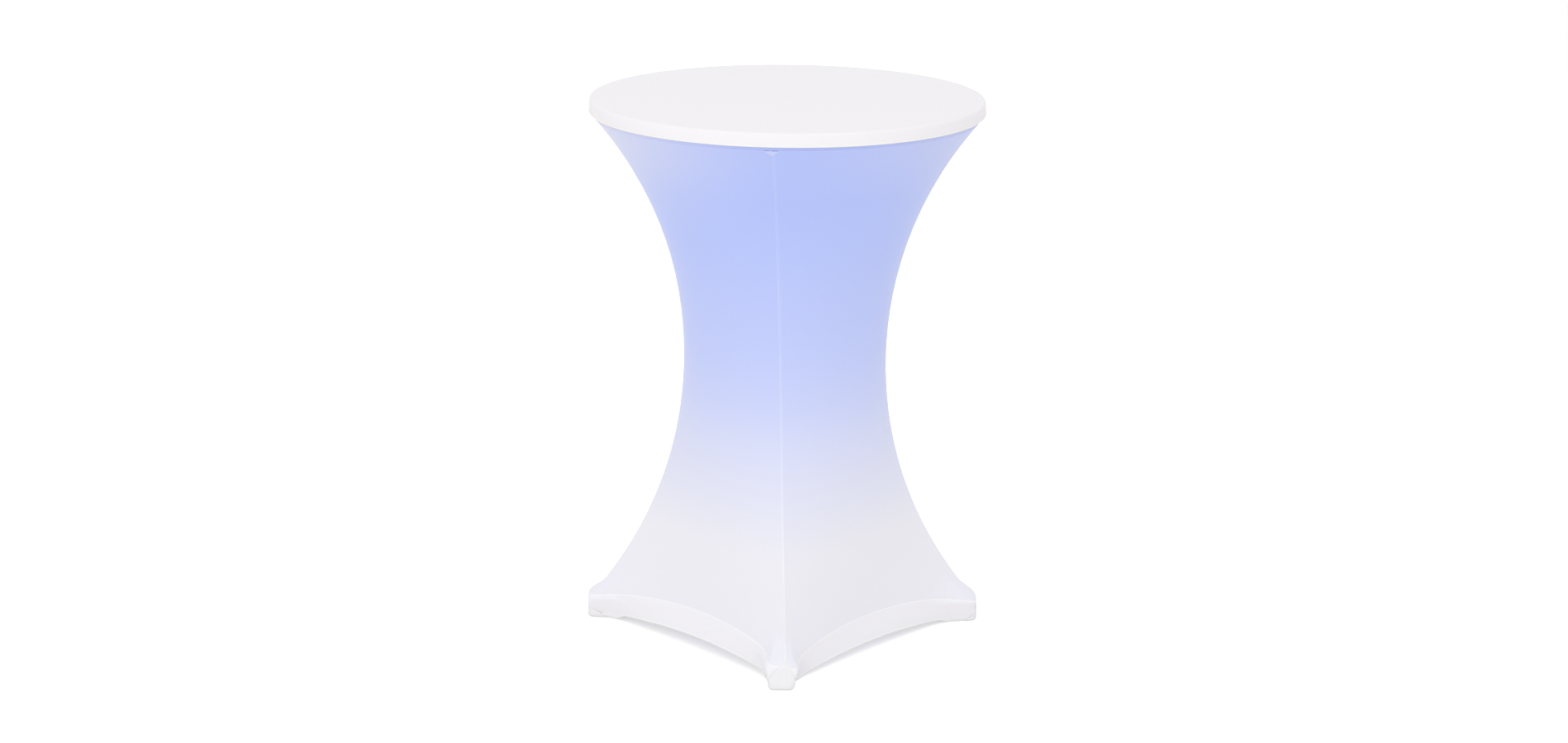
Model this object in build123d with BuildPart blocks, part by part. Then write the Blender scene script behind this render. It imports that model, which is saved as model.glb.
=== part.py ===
from build123d import *

import os
from math import acosh, asin, atan2, cos, cosh, degrees, hypot, radians, sin, sinh, sqrt, tan

# Light-up cocktail table. A round top stands on a steel column in a cast cross base.
# A stretch cover of four panels is drawn over the top and hooked under the four feet,
# a plain cap covers its top, and a battery ring lamp inside lights the panels.
# Millimetres. +Z is up and the origin is on the floor under the middle of the column.
# The four feet point along +X, +Y, -X and -Y, and -Y is the front.

# Whole table
overall_height = 1072.0
top_diameter = 762.0
foot_reach = 395.3
quarter_turn = 90.0
leg_azimuths = {"right": 0.0, "back": 90.0, "left": 180.0, "front": 270.0}
panel_starts = {"back_right": 0.0, "back_left": 90.0, "front_left": 180.0, "front_right": 270.0}
overrun = 1.0
hex_sides = 6

# Cloth
knit = 0.8
layer_ease = 0.1
free_gap = 0.3

# Shape of the stretched cover: each panel hangs between two seams, one down each leg
waist_radius = 201.0
waist_height = 553.0
rim_seam_inset = 6.0
rim_seam_drop = 8.4
seam_foot_inset = 18.3
seam_foot_height = 60.0
panel_waist_radius = 189.0
panel_waist_height = 540.0
hem_middle_sag = 7.4
hem_middle_height = 28.0
hem_corner_inset = 31.3
hem_corner_height = 10.0
panel_level_shares = (0.03, 0.09, 0.17, 0.27, 0.39, 0.51, 0.62, 0.72, 0.81, 0.89, 0.95)
facing_side_height = 50.0
facing_middle_height = 78.0

# Tabletop: laminated board with a vinyl bumper edge let into a groove
board_thickness = 24.0
bumper_wall = 3.0
bumper_top_round = 2.8
bumper_low_round = 2.5
rim_strip_ease = 0.82
bumper_tongue_length = 9.0
bumper_tongue_height = 2.4
tongue_clearance = 0.2

# Cap: plain cover over the top, held by a flat elastic sewn inside its edge
cap_edge_drop = 26.0
elastic_width = 5.0
elastic_thickness = 0.5
cap_flare = 0.3

# Column and the rod that draws the table together
column_radius = 38.0
column_wall = 2.0
socket_clearance = 0.3
rod_radius = 6.0
rod_clearance = 0.1
rod_end_margin = 1.5
nut_flats = 19.0
nut_height = 10.0
washer_radius = 14.0
washer_thickness = 2.5
rod_tail = 4.0
rod_end_chamfer = 1.0

# Spider plate under the board
spider_thickness = 6.0
spider_centre_radius = 60.0
spider_tip_radius = 20.0
spider_reach = 190.0
spider_hub_radius = 47.0
spider_hub_depth = 45.0
spider_hub_floor = 8.0
spider_rib_thickness = 5.0
spider_rib_depth = 30.0
spider_rib_reach = 108.0
spider_hub_round = 3.0
wood_screw_circles = (125.0, 170.0)
wood_screw_shank_radius = 2.4
wood_screw_length = 22.0
wood_screw_head_radius = 5.0
wood_screw_head_height = 3.2
wood_screw_point_angle = 40.0
screw_hole_clearance = 0.3

# Cast cross base
foot_rim_height = 10.0
hub_foot_radius = 66.0
hub_neck_radius = 48.0
hub_shoulder_height = 70.0
hub_height = 125.0
hub_lip_height = 8.0
hub_lip_round = 2.0
hub_floor_height = 40.0
hub_floor_thickness = 8.0
hub_wall = 10.0
hub_waist_radius = 53.0
arm_hub_radius = 60.0
arm_hub_height = 104.0
arm_waist_inset = 175.3
arm_waist_height = 72.0
arm_tip_height = 49.0
arm_root_half_width = 36.0
arm_tip_half_width = 25.0
arm_straight_length = 70.0
arm_skin = 5.0
arm_side_wall = 5.0
arm_edge_round = 7.0
arm_nose_round = 9.0
arm_rib_thickness = 5.0
arm_rib_low = 22.0

# Levelling glides, one under each arm tip: a studded swivel foot and a lock nut
glide_inset = 30.3
glide_boss_radius = 12.0
glide_boss_low = 31.0
glide_travel = 8.0
glide_stud_radius = 5.0
glide_stud_top = 38.0
glide_stud_chamfer = 1.0
glide_bore_clearance = 0.1
glide_bore_spare = 0.5
glide_nut_flats = 16.0
glide_nut_height = 5.0
glide_nut_room = 0.5
glide_hex_flats = 13.0
glide_hex_height = 4.0
glide_pad_radius = 17.0
glide_pad_height = 5.5
glide_pad_round = 1.5
glide_pad_floor = 1.0
glide_collar_radius = 10.5
glide_collar_height = 4.5
glide_ball_radius = 5.95
glide_ball_clearance = 0.1
glide_neck_radius = 3.8
glide_neck_clearance = 0.8

# Foot pockets: boots at the four corners of the cover, drawn over the arm tips
pocket_half_width = 26.5
pocket_wall = 1.0
pocket_length = 60.3
pocket_tip_height = 51.0
pocket_mouth_height = 57.5
pocket_corner_round = 10.0
pocket_edge_round = 8.0
pocket_seam_gap = 0.3

# Ring lamp: two half rings hinged at the back, clamped round the column
lamp_top_gap = 30.0
lamp_height = 44.0
lamp_bore_radius = 42.0
lamp_radius = 96.0
lamp_wall = 2.2
lamp_roof = 2.5
lamp_edge_round = 3.0
lamp_chamfer = 9.0
parting_gap = 0.3
end_wall = 5.0
diffuser_thickness = 2.0
led_board_inner = 50.0
led_board_outer = 88.0
led_board_thickness = 1.6
led_board_rise = 10.2
led_board_end_gap = 8.0
led_circles = (59.0, 79.0)
leds_per_circle = 9
led_size = 3.2
led_height = 1.2
lamp_post_radius = 3.2
lamp_post_shoulder = 1.0
lamp_post_clearance = 0.3
lamp_post_circle = 69.0
lamp_post_azimuths = (23.0, 76.0)
lamp_screw_radius = 1.2
lamp_screw_length = 12.0
lamp_screw_head_radius = 2.4
lamp_screw_head_height = 1.4
lamp_screw_clearance = 0.1

# Batteries and their bay in the fixed half
cell_count = 3
cell_radius = 7.25
cell_length = 49.5
cell_nub_radius = 2.75
cell_nub_length = 1.0
cell_circle = 74.0
cell_pitch_angle = 46.0
bay_floor_thickness = 1.5
bay_floor_inner = 62.0
bay_half_angle = 69.0
bay_rib_inner = 78.0
contact_width = 8.0
contact_thickness = 0.6
contact_gap = 0.2
bay_rib_thickness = 1.6
door_thickness = 2.0
door_half_angle = 71.0
door_overlap = 1.5
door_rail_angle = 3.0
door_rail_lip_angle = 2.0
door_rail_lip = 1.5
door_grip_rise = 1.2
door_grip_width = 1.5
door_grip_pitch_angle = 2.4
door_grips = 5

# Controls in the fixed half, below the bay
control_rise = 17.0
button_radius = 4.5
button_offset = 11.0
button_stand_out = 2.0
button_travel = 1.2
button_flange_radius = 6.0
button_flange_thickness = 1.0
button_clearance = 0.3
button_dome = 0.8
sensor_radius = 3.0
sensor_length = 3.6
control_board_width = 44.0
control_board_height = 9.0
control_board_thickness = 1.6
switch_size = 6.0
switch_depth = 3.0
switch_spare = 0.3

# Hinge, magnets and current pins at the parting faces
hinge_offset = 6.0
knuckle_radius = 5.0
hinge_length = 30.0
knuckles = 3
knuckle_gap = 0.4
hinge_pin_radius = 1.5
hinge_pin_clearance = 0.05
hinge_pin_head_radius = 2.6
hinge_pin_head_height = 1.0
hinge_root_reach = 12.0
hinge_root_radius = 2.5
magnet_radius = 4.0
magnet_length = 3.0
magnet_clearance = 0.1
magnet_rise_shares = (0.27, 0.77)
pin_contact_radius = 1.0
pin_contact_length = 5.6
pin_contact_spacing = 6.0
pin_contact_rise_share = 0.52
pad_contact_radius = 1.8
pad_contact_thickness = 1.0
grip_pad_half_angle = 24.0
grip_pad_height = 30.0
grip_pad_azimuths = (45.0, 135.0)

# Heights and radii that follow from the sizes above
cap_top = overall_height
cover_top = cap_top - knit
board_top = cover_top - knit
board_bottom = board_top - board_thickness
top_radius = top_diameter / 2
rim_seam_radius = top_radius - rim_seam_inset
rim_seam_height = board_bottom - rim_seam_drop
seam_foot_radius = foot_reach - seam_foot_inset
hem_corner_radius = foot_reach - hem_corner_inset
hem_middle_radius = hem_corner_radius / sqrt(2) - hem_middle_sag
pocket_mouth_radius = foot_reach - pocket_length
glide_centre = foot_reach - glide_inset
board_radius = top_radius - bumper_wall
groove_middle = board_bottom + board_thickness / 2
spider_bottom = board_bottom - spider_thickness
spider_hub_bottom = board_bottom - spider_hub_depth
rod_top = board_bottom - rod_end_margin
column_top = board_bottom - spider_hub_floor
column_bottom = hub_floor_height
hub_floor_under = hub_floor_height - hub_floor_thickness
washer_bottom = hub_floor_under - washer_thickness
rod_nut_bottom = washer_bottom - nut_height
rod_bottom = rod_nut_bottom - rod_tail
arm_tip = foot_reach - pocket_wall - free_gap
arm_waist_radius = foot_reach - arm_waist_inset
lamp_top = spider_hub_bottom - lamp_top_gap
lamp_bottom = lamp_top - lamp_height
half_parting = parting_gap / 2
arms = range(len(leg_azimuths))


def hex_radius(flats):
    """Corner radius of a hexagon from its width across flats."""
    return flats / sqrt(3)


def level_point(radius, azimuth):
    """Point of a level sketch at a radius and an azimuth from the column axis."""
    return (radius * cos(radians(azimuth)), radius * sin(radians(azimuth)))


def leg_plane(azimuth):
    """Upright plane through the column axis and one foot, with the radius as its X."""
    outward = (cos(radians(azimuth)), sin(radians(azimuth)), 0)
    sideways = (sin(radians(azimuth)), -cos(radians(azimuth)), 0)
    return Plane(origin=(0, 0, 0), x_dir=outward, z_dir=sideways)


def ring_sector(inner, outer, start, sweep_angle):
    """Piece of a flat ring between two radii, from a start azimuth."""
    with BuildSketch() as sector:
        with BuildLine():
            near = CenterArc((0, 0), inner, start, sweep_angle)
            far = CenterArc((0, 0), outer, start, sweep_angle)
            Line(near @ 0, far @ 0)
            Line(near @ 1, far @ 1)
        make_face()
    return sector.sketch


# Tension curves of the cover. Both the seam lines and the middles of the panels follow
# a catenary that is narrowest at its waist.
def catenary(height, waist, at_height, end_radius, end_height):
    """Radius and slope at a height on a curve from its waist to one end."""
    rate = acosh(end_radius / waist) / (end_height - at_height)
    drop = height - at_height
    return waist * cosh(rate * drop), waist * rate * sinh(rate * drop)


def seam_line(height):
    """Radius and slope of the seam down a leg."""
    if height >= waist_height:
        return catenary(height, waist_radius, waist_height, rim_seam_radius, rim_seam_height)
    return catenary(height, waist_radius, waist_height, seam_foot_radius, seam_foot_height)


def panel_line(height):
    """Radius and slope down the middle of a panel."""
    if height >= panel_waist_height:
        return catenary(height, panel_waist_radius, panel_waist_height,
                        rim_seam_radius, rim_seam_height)
    return catenary(height, panel_waist_radius, panel_waist_height,
                    hem_middle_radius, hem_middle_height)


def panel_wall(start, outer_inset, inner_inset):
    """Quarter of the stretched cover between two insets, each a count of cloth depths."""
    rise = rim_seam_height - seam_foot_height
    levels = [seam_foot_height + share * rise for share in panel_level_shares]
    levels = [hem_corner_height, seam_foot_height] + levels + [rim_seam_height]
    with BuildPart() as wall:
        for height in levels:
            seam, seam_slope = seam_line(height)
            middle, middle_slope = panel_line(height)
            if height < seam_foot_height:
                seam, seam_slope = hem_corner_radius, 0
            with BuildSketch(Plane.XY.offset(height)):
                with BuildLine():
                    edges = []
                    for inset in (outer_inset, inner_inset):
                        side = seam - inset * hypot(1, seam_slope)
                        centre = middle - inset * hypot(1, middle_slope)
                        edges.append(ThreePointArc(
                            level_point(side, start),
                            level_point(centre, start + quarter_turn / 2),
                            level_point(side, start + quarter_turn),
                        ))
                    Line(edges[0] @ 0, edges[1] @ 0)
                    Line(edges[0] @ 1, edges[1] @ 1)
                make_face()
        loft()
    return wall.part


def under_arch(start, side_height, middle_height):
    """Solid under a shallow arch that runs from pocket to pocket across one panel."""
    azimuth = start + quarter_turn / 2
    outward = (cos(radians(azimuth)), sin(radians(azimuth)), 0)
    sideways = (-sin(radians(azimuth)), cos(radians(azimuth)), 0)
    across = (pocket_mouth_radius - pocket_half_width) / sqrt(2)
    far = foot_reach
    with BuildPart() as block:
        with BuildSketch(Plane(origin=(0, 0, 0), x_dir=sideways, z_dir=outward)):
            with BuildLine():
                ThreePointArc((-across, side_height), (0, middle_height), (across, side_height))
                Polyline(
                    (across, side_height), (far, side_height), (far, -overrun),
                    (-far, -overrun), (-far, side_height), (-across, side_height),
                )
            make_face()
        extrude(amount=far)
    return block.part


def foot_form(azimuth, mouth, tip, low, inset, half_width, reach_past=0):
    """Rounded boot shape over an arm tip, inset from the outside of the pocket."""
    corner = pocket_corner_round - inset
    edge_round = pocket_edge_round - inset
    slope = (pocket_mouth_height - pocket_tip_height) / (foot_reach - pocket_mouth_radius)
    start = mouth - reach_past
    start_height = pocket_tip_height - inset + slope * (tip - start)
    plane = leg_plane(azimuth)
    with BuildPart() as form:
        with BuildSketch(plane) as side:
            with BuildLine():
                Polyline(
                    (start, low), (tip, low), (tip, pocket_tip_height - inset),
                    (start, start_height), close=True,
                )
            make_face()
            fillet(side.vertices().group_by(Axis.X)[-1], corner)
        extrude(amount=half_width, both=True)
        rounded = []
        for edge in form.edges():
            place = plane.to_local_coords(edge.center())
            if abs(abs(place.Z) - half_width) < free_gap and place.X > start + free_gap:
                rounded.append(edge)
        fillet(rounded, edge_round)
    return form.part


os.makedirs("parts", exist_ok=True)


# Cover: four stretched panels, each cut along its hem and round the two pockets
def pocket_block(azimuth):
    """Room for one pocket through the panels, open outwards."""
    room = pocket_half_width + pocket_seam_gap
    slope = (pocket_mouth_height - pocket_tip_height) / (foot_reach - pocket_mouth_radius)
    start = pocket_mouth_radius - pocket_seam_gap
    end = foot_reach + pocket_half_width
    top = pocket_tip_height + pocket_seam_gap
    with BuildPart() as block:
        with BuildSketch(leg_plane(azimuth)):
            with BuildLine():
                Polyline(
                    (start, -overrun), (end, -overrun), (end, top),
                    (foot_reach, top), (start, top + slope * (foot_reach - start)), close=True,
                )
            make_face()
        extrude(amount=room, both=True)
    return block.part


for panel_name, panel_start in panel_starts.items():
    hem_cut = under_arch(panel_start, hem_corner_height, hem_middle_height)
    pocket_rooms = [pocket_block(panel_start), pocket_block(panel_start + quarter_turn)]
    with BuildPart() as skirt_panel:
        add(panel_wall(panel_start, 0, knit))
        add(hem_cut, mode=Mode.SUBTRACT)
        for pocket_room in pocket_rooms:
            add(pocket_room, mode=Mode.SUBTRACT)
    skirt_panel.part.label = "skirt_panel_" + panel_name
    export_step(skirt_panel.part, "parts/skirt_panel_" + panel_name + ".step")

    # Hem facing: the band turned up and stitched inside the lower edge
    facing_face = knit + free_gap
    with BuildPart() as hem_facing:
        add(panel_wall(panel_start, facing_face, facing_face + knit))
        add(under_arch(panel_start, facing_side_height, facing_middle_height), mode=Mode.INTERSECT)
        add(hem_cut, mode=Mode.SUBTRACT)
        for pocket_room in pocket_rooms:
            add(pocket_room, mode=Mode.SUBTRACT)
    hem_facing.part.label = "hem_facing_" + panel_name
    export_step(hem_facing.part, "parts/hem_facing_" + panel_name + ".step")


# Foot pockets
for pocket_name, pocket_azimuth in leg_azimuths.items():
    with BuildPart() as foot_pocket:
        add(foot_form(pocket_azimuth, pocket_mouth_radius, foot_reach, 0, 0, pocket_half_width))
        add(foot_form(
            pocket_azimuth, pocket_mouth_radius, foot_reach - pocket_wall, pocket_wall,
            pocket_wall, pocket_half_width - pocket_wall, overrun,
        ), mode=Mode.SUBTRACT)
    foot_pocket.part.label = "foot_pocket_" + pocket_name
    export_step(foot_pocket.part, "parts/foot_pocket_" + pocket_name + ".step")


# Top of the cover and the cap over it. Both run flat over the board, round its edge and
# down its side. The cover goes on in a straight strip, drawn past the bumper's lower
# round, to the seam.
strip_start = (rim_seam_inset - bumper_low_round, rim_seam_drop + bumper_low_round)
strip_turn = asin((bumper_low_round + rim_strip_ease + knit) / hypot(*strip_start))
seam_tilt = atan2(*strip_start) + strip_turn
seam_depth = knit / cos(seam_tilt)


def rim_corner(offset):
    """Where the side of the cover meets its slope, at an offset outside its inner face."""
    side = top_radius + layer_ease + offset
    slope_radius = rim_seam_radius - seam_depth + offset / cos(seam_tilt)
    return side, rim_seam_height + (side - slope_radius) / tan(seam_tilt)


with BuildPart() as cover_top_panel:
    with BuildSketch(Plane.XZ):
        with BuildLine():
            for depth in (0, knit):
                rim_side, rim_turn = rim_corner(depth)
                FilletPolyline(
                    (0, board_top + depth), (rim_side, board_top + depth), (rim_side, rim_turn),
                    (rim_seam_radius - seam_depth + depth / cos(seam_tilt), rim_seam_height),
                    radius=[bumper_top_round + depth, bumper_low_round + depth],
                )
            Line((0, board_top), (0, board_top + knit))
            Line((rim_seam_radius - seam_depth, rim_seam_height), (rim_seam_radius, rim_seam_height))
        make_face()
    revolve(axis=Axis.Z)
cover_top_panel.part.label = "cover_top_panel"
export_step(cover_top_panel.part, "parts/cover_top_panel.step")

cap_edge = cap_top - cap_edge_drop
cap_inner_top = top_radius + layer_ease + knit + layer_ease
cap_inner_edge = cap_inner_top + elastic_thickness + cap_flare
with BuildPart() as top_cap:
    with BuildSketch(Plane.XZ):
        with BuildLine():
            for depth in (0, knit):
                FilletPolyline(
                    (0, cover_top + depth), (cap_inner_top + depth, cover_top + depth),
                    (cap_inner_edge + depth, cap_edge), radius=bumper_top_round + knit + depth,
                )
            Line((0, cover_top), (0, cap_top))
            Line((cap_inner_edge, cap_edge), (cap_inner_edge + knit, cap_edge))
        make_face()
    revolve(axis=Axis.Z)
top_cap.part.label = "top_cap"
export_step(top_cap.part, "parts/top_cap.step")

with BuildPart() as cap_elastic:
    with BuildSketch(Plane.XY.offset(cap_edge + layer_ease)):
        Circle(cap_inner_top + elastic_thickness)
        Circle(cap_inner_top, mode=Mode.SUBTRACT)
    extrude(amount=elastic_width)
cap_elastic.part.label = "cap_elastic"
export_step(cap_elastic.part, "parts/cap_elastic.step")


# Tabletop board with a groove for the bumper and pilot holes for the spider's screws
with BuildPart() as tabletop_board:
    with BuildSketch(Plane.XY.offset(board_bottom)):
        Circle(board_radius)
    extrude(amount=board_thickness)
    groove_height = bumper_tongue_height + 2 * tongue_clearance
    with BuildSketch(Plane.XY.offset(groove_middle - groove_height / 2)):
        Circle(board_radius)
        Circle(board_radius - bumper_tongue_length - tongue_clearance, mode=Mode.SUBTRACT)
    extrude(amount=groove_height, mode=Mode.SUBTRACT)
    with BuildSketch(Plane.XY.offset(board_bottom)):
        for screw_circle in wood_screw_circles:
            with PolarLocations(screw_circle, len(arms)):
                Circle(wood_screw_shank_radius + screw_hole_clearance)
    extrude(amount=wood_screw_length - spider_thickness + overrun, mode=Mode.SUBTRACT)
tabletop_board.part.label = "tabletop_board"
export_step(tabletop_board.part, "parts/tabletop_board.step")

with BuildPart() as tabletop_bumper:
    with BuildSketch(Plane.XZ):
        with BuildLine():
            FilletPolyline(
                (board_radius + layer_ease, board_bottom), (top_radius, board_bottom),
                (top_radius, board_top), (board_radius + layer_ease, board_top),
                radius=[bumper_low_round, bumper_top_round],
            )
            Line((board_radius + layer_ease, board_bottom), (board_radius + layer_ease, board_top))
        make_face()
        with Locations(((2 * board_radius - bumper_tongue_length + bumper_wall) / 2, groove_middle)):
            Rectangle(bumper_tongue_length + bumper_wall, bumper_tongue_height)
    revolve(axis=Axis.Z)
tabletop_bumper.part.label = "tabletop_bumper"
export_step(tabletop_bumper.part, "parts/tabletop_bumper.step")


# Spider plate: four flat arms under the board, a socket for the column and four ribs
with BuildPart() as spider_plate:
    for azimuth in leg_azimuths.values():
        with BuildSketch(Plane.XY.offset(spider_bottom)):
            Circle(spider_centre_radius / 2)
            with Locations(level_point(spider_reach - spider_tip_radius, azimuth)):
                Circle(spider_tip_radius)
            make_hull()
        extrude(amount=spider_thickness)
    with BuildSketch(Plane.XY.offset(spider_bottom)):
        Circle(spider_centre_radius)
    extrude(amount=spider_thickness)
    with BuildSketch(Plane.XY.offset(spider_hub_bottom)):
        Circle(spider_hub_radius)
    extrude(amount=spider_hub_depth - spider_thickness)
    fillet(spider_plate.faces().sort_by(Axis.Z)[0].edges(), spider_hub_round)
    for azimuth in leg_azimuths.values():
        with BuildSketch(leg_plane(azimuth)):
            with BuildLine():
                Polyline(
                    (0, spider_bottom), (spider_rib_reach, spider_bottom),
                    (spider_hub_radius, spider_bottom - spider_rib_depth),
                    (0, spider_bottom - spider_rib_depth), close=True,
                )
            make_face()
        extrude(amount=spider_rib_thickness / 2, both=True)
    with BuildSketch(Plane.XY.offset(spider_hub_bottom)):
        Circle(column_radius + socket_clearance)
    extrude(amount=column_top - spider_hub_bottom, mode=Mode.SUBTRACT)
    with BuildSketch(Plane.XY.offset(column_top)):
        Circle(rod_radius + rod_clearance)
    extrude(amount=spider_hub_floor, mode=Mode.SUBTRACT)
    with BuildSketch(Plane.XY.offset(spider_bottom)):
        for screw_circle in wood_screw_circles:
            with PolarLocations(screw_circle, len(arms)):
                Circle(wood_screw_shank_radius + screw_hole_clearance)
    extrude(amount=spider_thickness, mode=Mode.SUBTRACT)
spider_plate.part.label = "spider_plate"
export_step(spider_plate.part, "parts/spider_plate.step")

with BuildPart() as spider_screws:
    with BuildSketch(Plane.XY.offset(spider_bottom - wood_screw_head_height)):
        for screw_circle in wood_screw_circles:
            with PolarLocations(screw_circle, len(arms)):
                Circle(wood_screw_head_radius)
    extrude(amount=wood_screw_head_height)
    fillet(spider_screws.faces().group_by(Axis.Z)[0].edges(), wood_screw_head_height / 2)
    with BuildSketch(Plane.XY.offset(spider_bottom)):
        for screw_circle in wood_screw_circles:
            with PolarLocations(screw_circle, len(arms)):
                Circle(wood_screw_shank_radius)
    extrude(amount=wood_screw_length - wood_screw_shank_radius)
    extrude(
        spider_screws.faces().group_by(Axis.Z)[-1], amount=wood_screw_shank_radius,
        taper=wood_screw_point_angle,
    )
spider_screws.part.label = "spider_screws"
export_step(spider_screws.part, "parts/spider_screws.step")


# Column tube, standing on the floor of the base's socket
with BuildPart() as column_tube:
    with BuildSketch(Plane.XY.offset(column_bottom)):
        Circle(column_radius)
        Circle(column_radius - column_wall, mode=Mode.SUBTRACT)
    extrude(amount=column_top - column_bottom)
column_tube.part.label = "column_tube"
export_step(column_tube.part, "parts/column_tube.step")

# Tie rod with its washer and nut under the base
with BuildPart() as tie_rod:
    with BuildSketch(Plane.XY.offset(rod_bottom)):
        Circle(rod_radius)
    extrude(amount=rod_top - rod_bottom)
    chamfer(tie_rod.edges().filter_by(GeomType.CIRCLE), rod_end_chamfer)
tie_rod.part.label = "tie_rod"
export_step(tie_rod.part, "parts/tie_rod.step")

with BuildPart() as tie_rod_washer:
    with BuildSketch(Plane.XY.offset(washer_bottom)):
        Circle(washer_radius)
        Circle(rod_radius + rod_clearance, mode=Mode.SUBTRACT)
    extrude(amount=washer_thickness)
tie_rod_washer.part.label = "tie_rod_washer"
export_step(tie_rod_washer.part, "parts/tie_rod_washer.step")

with BuildPart() as tie_rod_nut:
    with BuildSketch(Plane.XY.offset(rod_nut_bottom)):
        RegularPolygon(hex_radius(nut_flats), hex_sides)
        Circle(rod_radius + rod_clearance, mode=Mode.SUBTRACT)
    extrude(amount=nut_height)
tie_rod_nut.part.label = "tie_rod_nut"
export_step(tie_rod_nut.part, "parts/tie_rod_nut.step")


# Cross base. Each arm is an upturned channel with a middle rib and a boss for its glide.
def arm_side(drop, low):
    """Side view of an arm from the column axis to its tip, its top lowered by a drop."""
    with BuildSketch() as side:
        with BuildLine():
            top_line = ThreePointArc(
                (arm_hub_radius, arm_hub_height - drop), (arm_waist_radius, arm_waist_height - drop),
                (arm_tip, arm_tip_height - drop),
            )
            Polyline(
                top_line @ 1, (arm_tip, low), (0, low), (0, arm_hub_height - drop), top_line @ 0,
            )
        make_face()
    return side.sketch


def arm_plan(wall):
    """Plan of an arm along +X, its sides and tip drawn in by a wall."""
    straight = arm_tip - arm_straight_length
    with BuildSketch() as plan:
        with BuildLine():
            Polyline(
                (0, arm_root_half_width - wall), (arm_hub_radius, arm_root_half_width - wall),
                (straight, arm_tip_half_width - wall), (arm_tip - wall, arm_tip_half_width - wall),
                (arm_tip - wall, wall - arm_tip_half_width), (straight, wall - arm_tip_half_width),
                (arm_hub_radius, wall - arm_root_half_width), (0, wall - arm_root_half_width),
                close=True,
            )
        make_face()
        fillet(plan.vertices().group_by(Axis.X)[-1], arm_nose_round - wall)
    return plan.sketch


with BuildPart() as arm_body:
    with BuildSketch(leg_plane(0)):
        add(arm_side(0, foot_rim_height))
    extrude(amount=arm_root_half_width, both=True)
    with BuildSketch(Plane.XY):
        add(arm_plan(0))
    extrude(amount=arm_hub_height, mode=Mode.INTERSECT)
    top_face = arm_body.faces().filter_by(GeomType.CYLINDER).sort_by(SortBy.AREA)[-1]
    top_sides = [edge for edge in top_face.edges() if edge.center().X > arm_hub_radius + overrun]
    fillet(top_sides, arm_edge_round)

with BuildPart() as arm_rooms:
    with BuildSketch(Plane.XY.offset(foot_rim_height - overrun)):
        add(arm_plan(arm_side_wall))
        Circle(hub_foot_radius - overrun, mode=Mode.SUBTRACT)
    extrude(amount=arm_rib_low - foot_rim_height + overrun)
    with BuildSketch(Plane.XY.offset(arm_rib_low)):
        add(arm_plan(arm_side_wall))
        Circle(hub_foot_radius - overrun, mode=Mode.SUBTRACT)
        with Locations((glide_centre / 2, 0)):
            Rectangle(glide_centre, arm_rib_thickness, mode=Mode.SUBTRACT)
        with Locations((glide_centre, 0)):
            Circle(glide_boss_radius, mode=Mode.SUBTRACT)
    extrude(amount=arm_hub_height)
    with BuildSketch(Plane.XY.offset(arm_rib_low)):
        with Locations((glide_centre, 0)):
            Circle(glide_boss_radius + glide_nut_room)
    extrude(amount=glide_boss_low - arm_rib_low)
    with BuildSketch(leg_plane(0)):
        add(arm_side(arm_skin, foot_rim_height - overrun))
    extrude(amount=arm_root_half_width, both=True, mode=Mode.INTERSECT)

with BuildPart() as cross_base:
    with PolarLocations(0, len(arms)):
        add(arm_body.part)
    with BuildSketch(Plane.XZ):
        with BuildLine():
            Polyline(
                (0, foot_rim_height), (hub_foot_radius, foot_rim_height),
                (hub_foot_radius, hub_shoulder_height), (hub_waist_radius, arm_hub_height),
                (hub_neck_radius, hub_height - hub_lip_height),
                (hub_waist_radius, hub_height - hub_lip_height), (hub_waist_radius, hub_height),
                (0, hub_height), close=True,
            )
        make_face()
    revolve(axis=Axis.Z)
    fillet(cross_base.faces().sort_by(Axis.Z)[-1].edges(), hub_lip_round)
    with PolarLocations(0, len(arms)):
        add(arm_rooms.part, mode=Mode.SUBTRACT)
    with BuildSketch(Plane.XY.offset(hub_floor_height)):
        Circle(column_radius + socket_clearance)
    extrude(amount=hub_height - hub_floor_height, mode=Mode.SUBTRACT)
    with BuildSketch(Plane.XY.offset(foot_rim_height)):
        Circle(hub_foot_radius - hub_wall)
    extrude(amount=hub_floor_under - foot_rim_height, mode=Mode.SUBTRACT)
    with BuildSketch(Plane.XY.offset(hub_floor_under)):
        Circle(rod_radius + rod_clearance)
    extrude(amount=hub_floor_thickness, mode=Mode.SUBTRACT)
    with BuildSketch(Plane.XY.offset(glide_boss_low)):
        with PolarLocations(glide_centre, len(arms)):
            Circle(glide_stud_radius + glide_bore_clearance)
    extrude(amount=glide_stud_top + glide_travel + glide_bore_spare - glide_boss_low,
            mode=Mode.SUBTRACT)
cross_base.part.label = "cross_base"
export_step(cross_base.part, "parts/cross_base.step")


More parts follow.
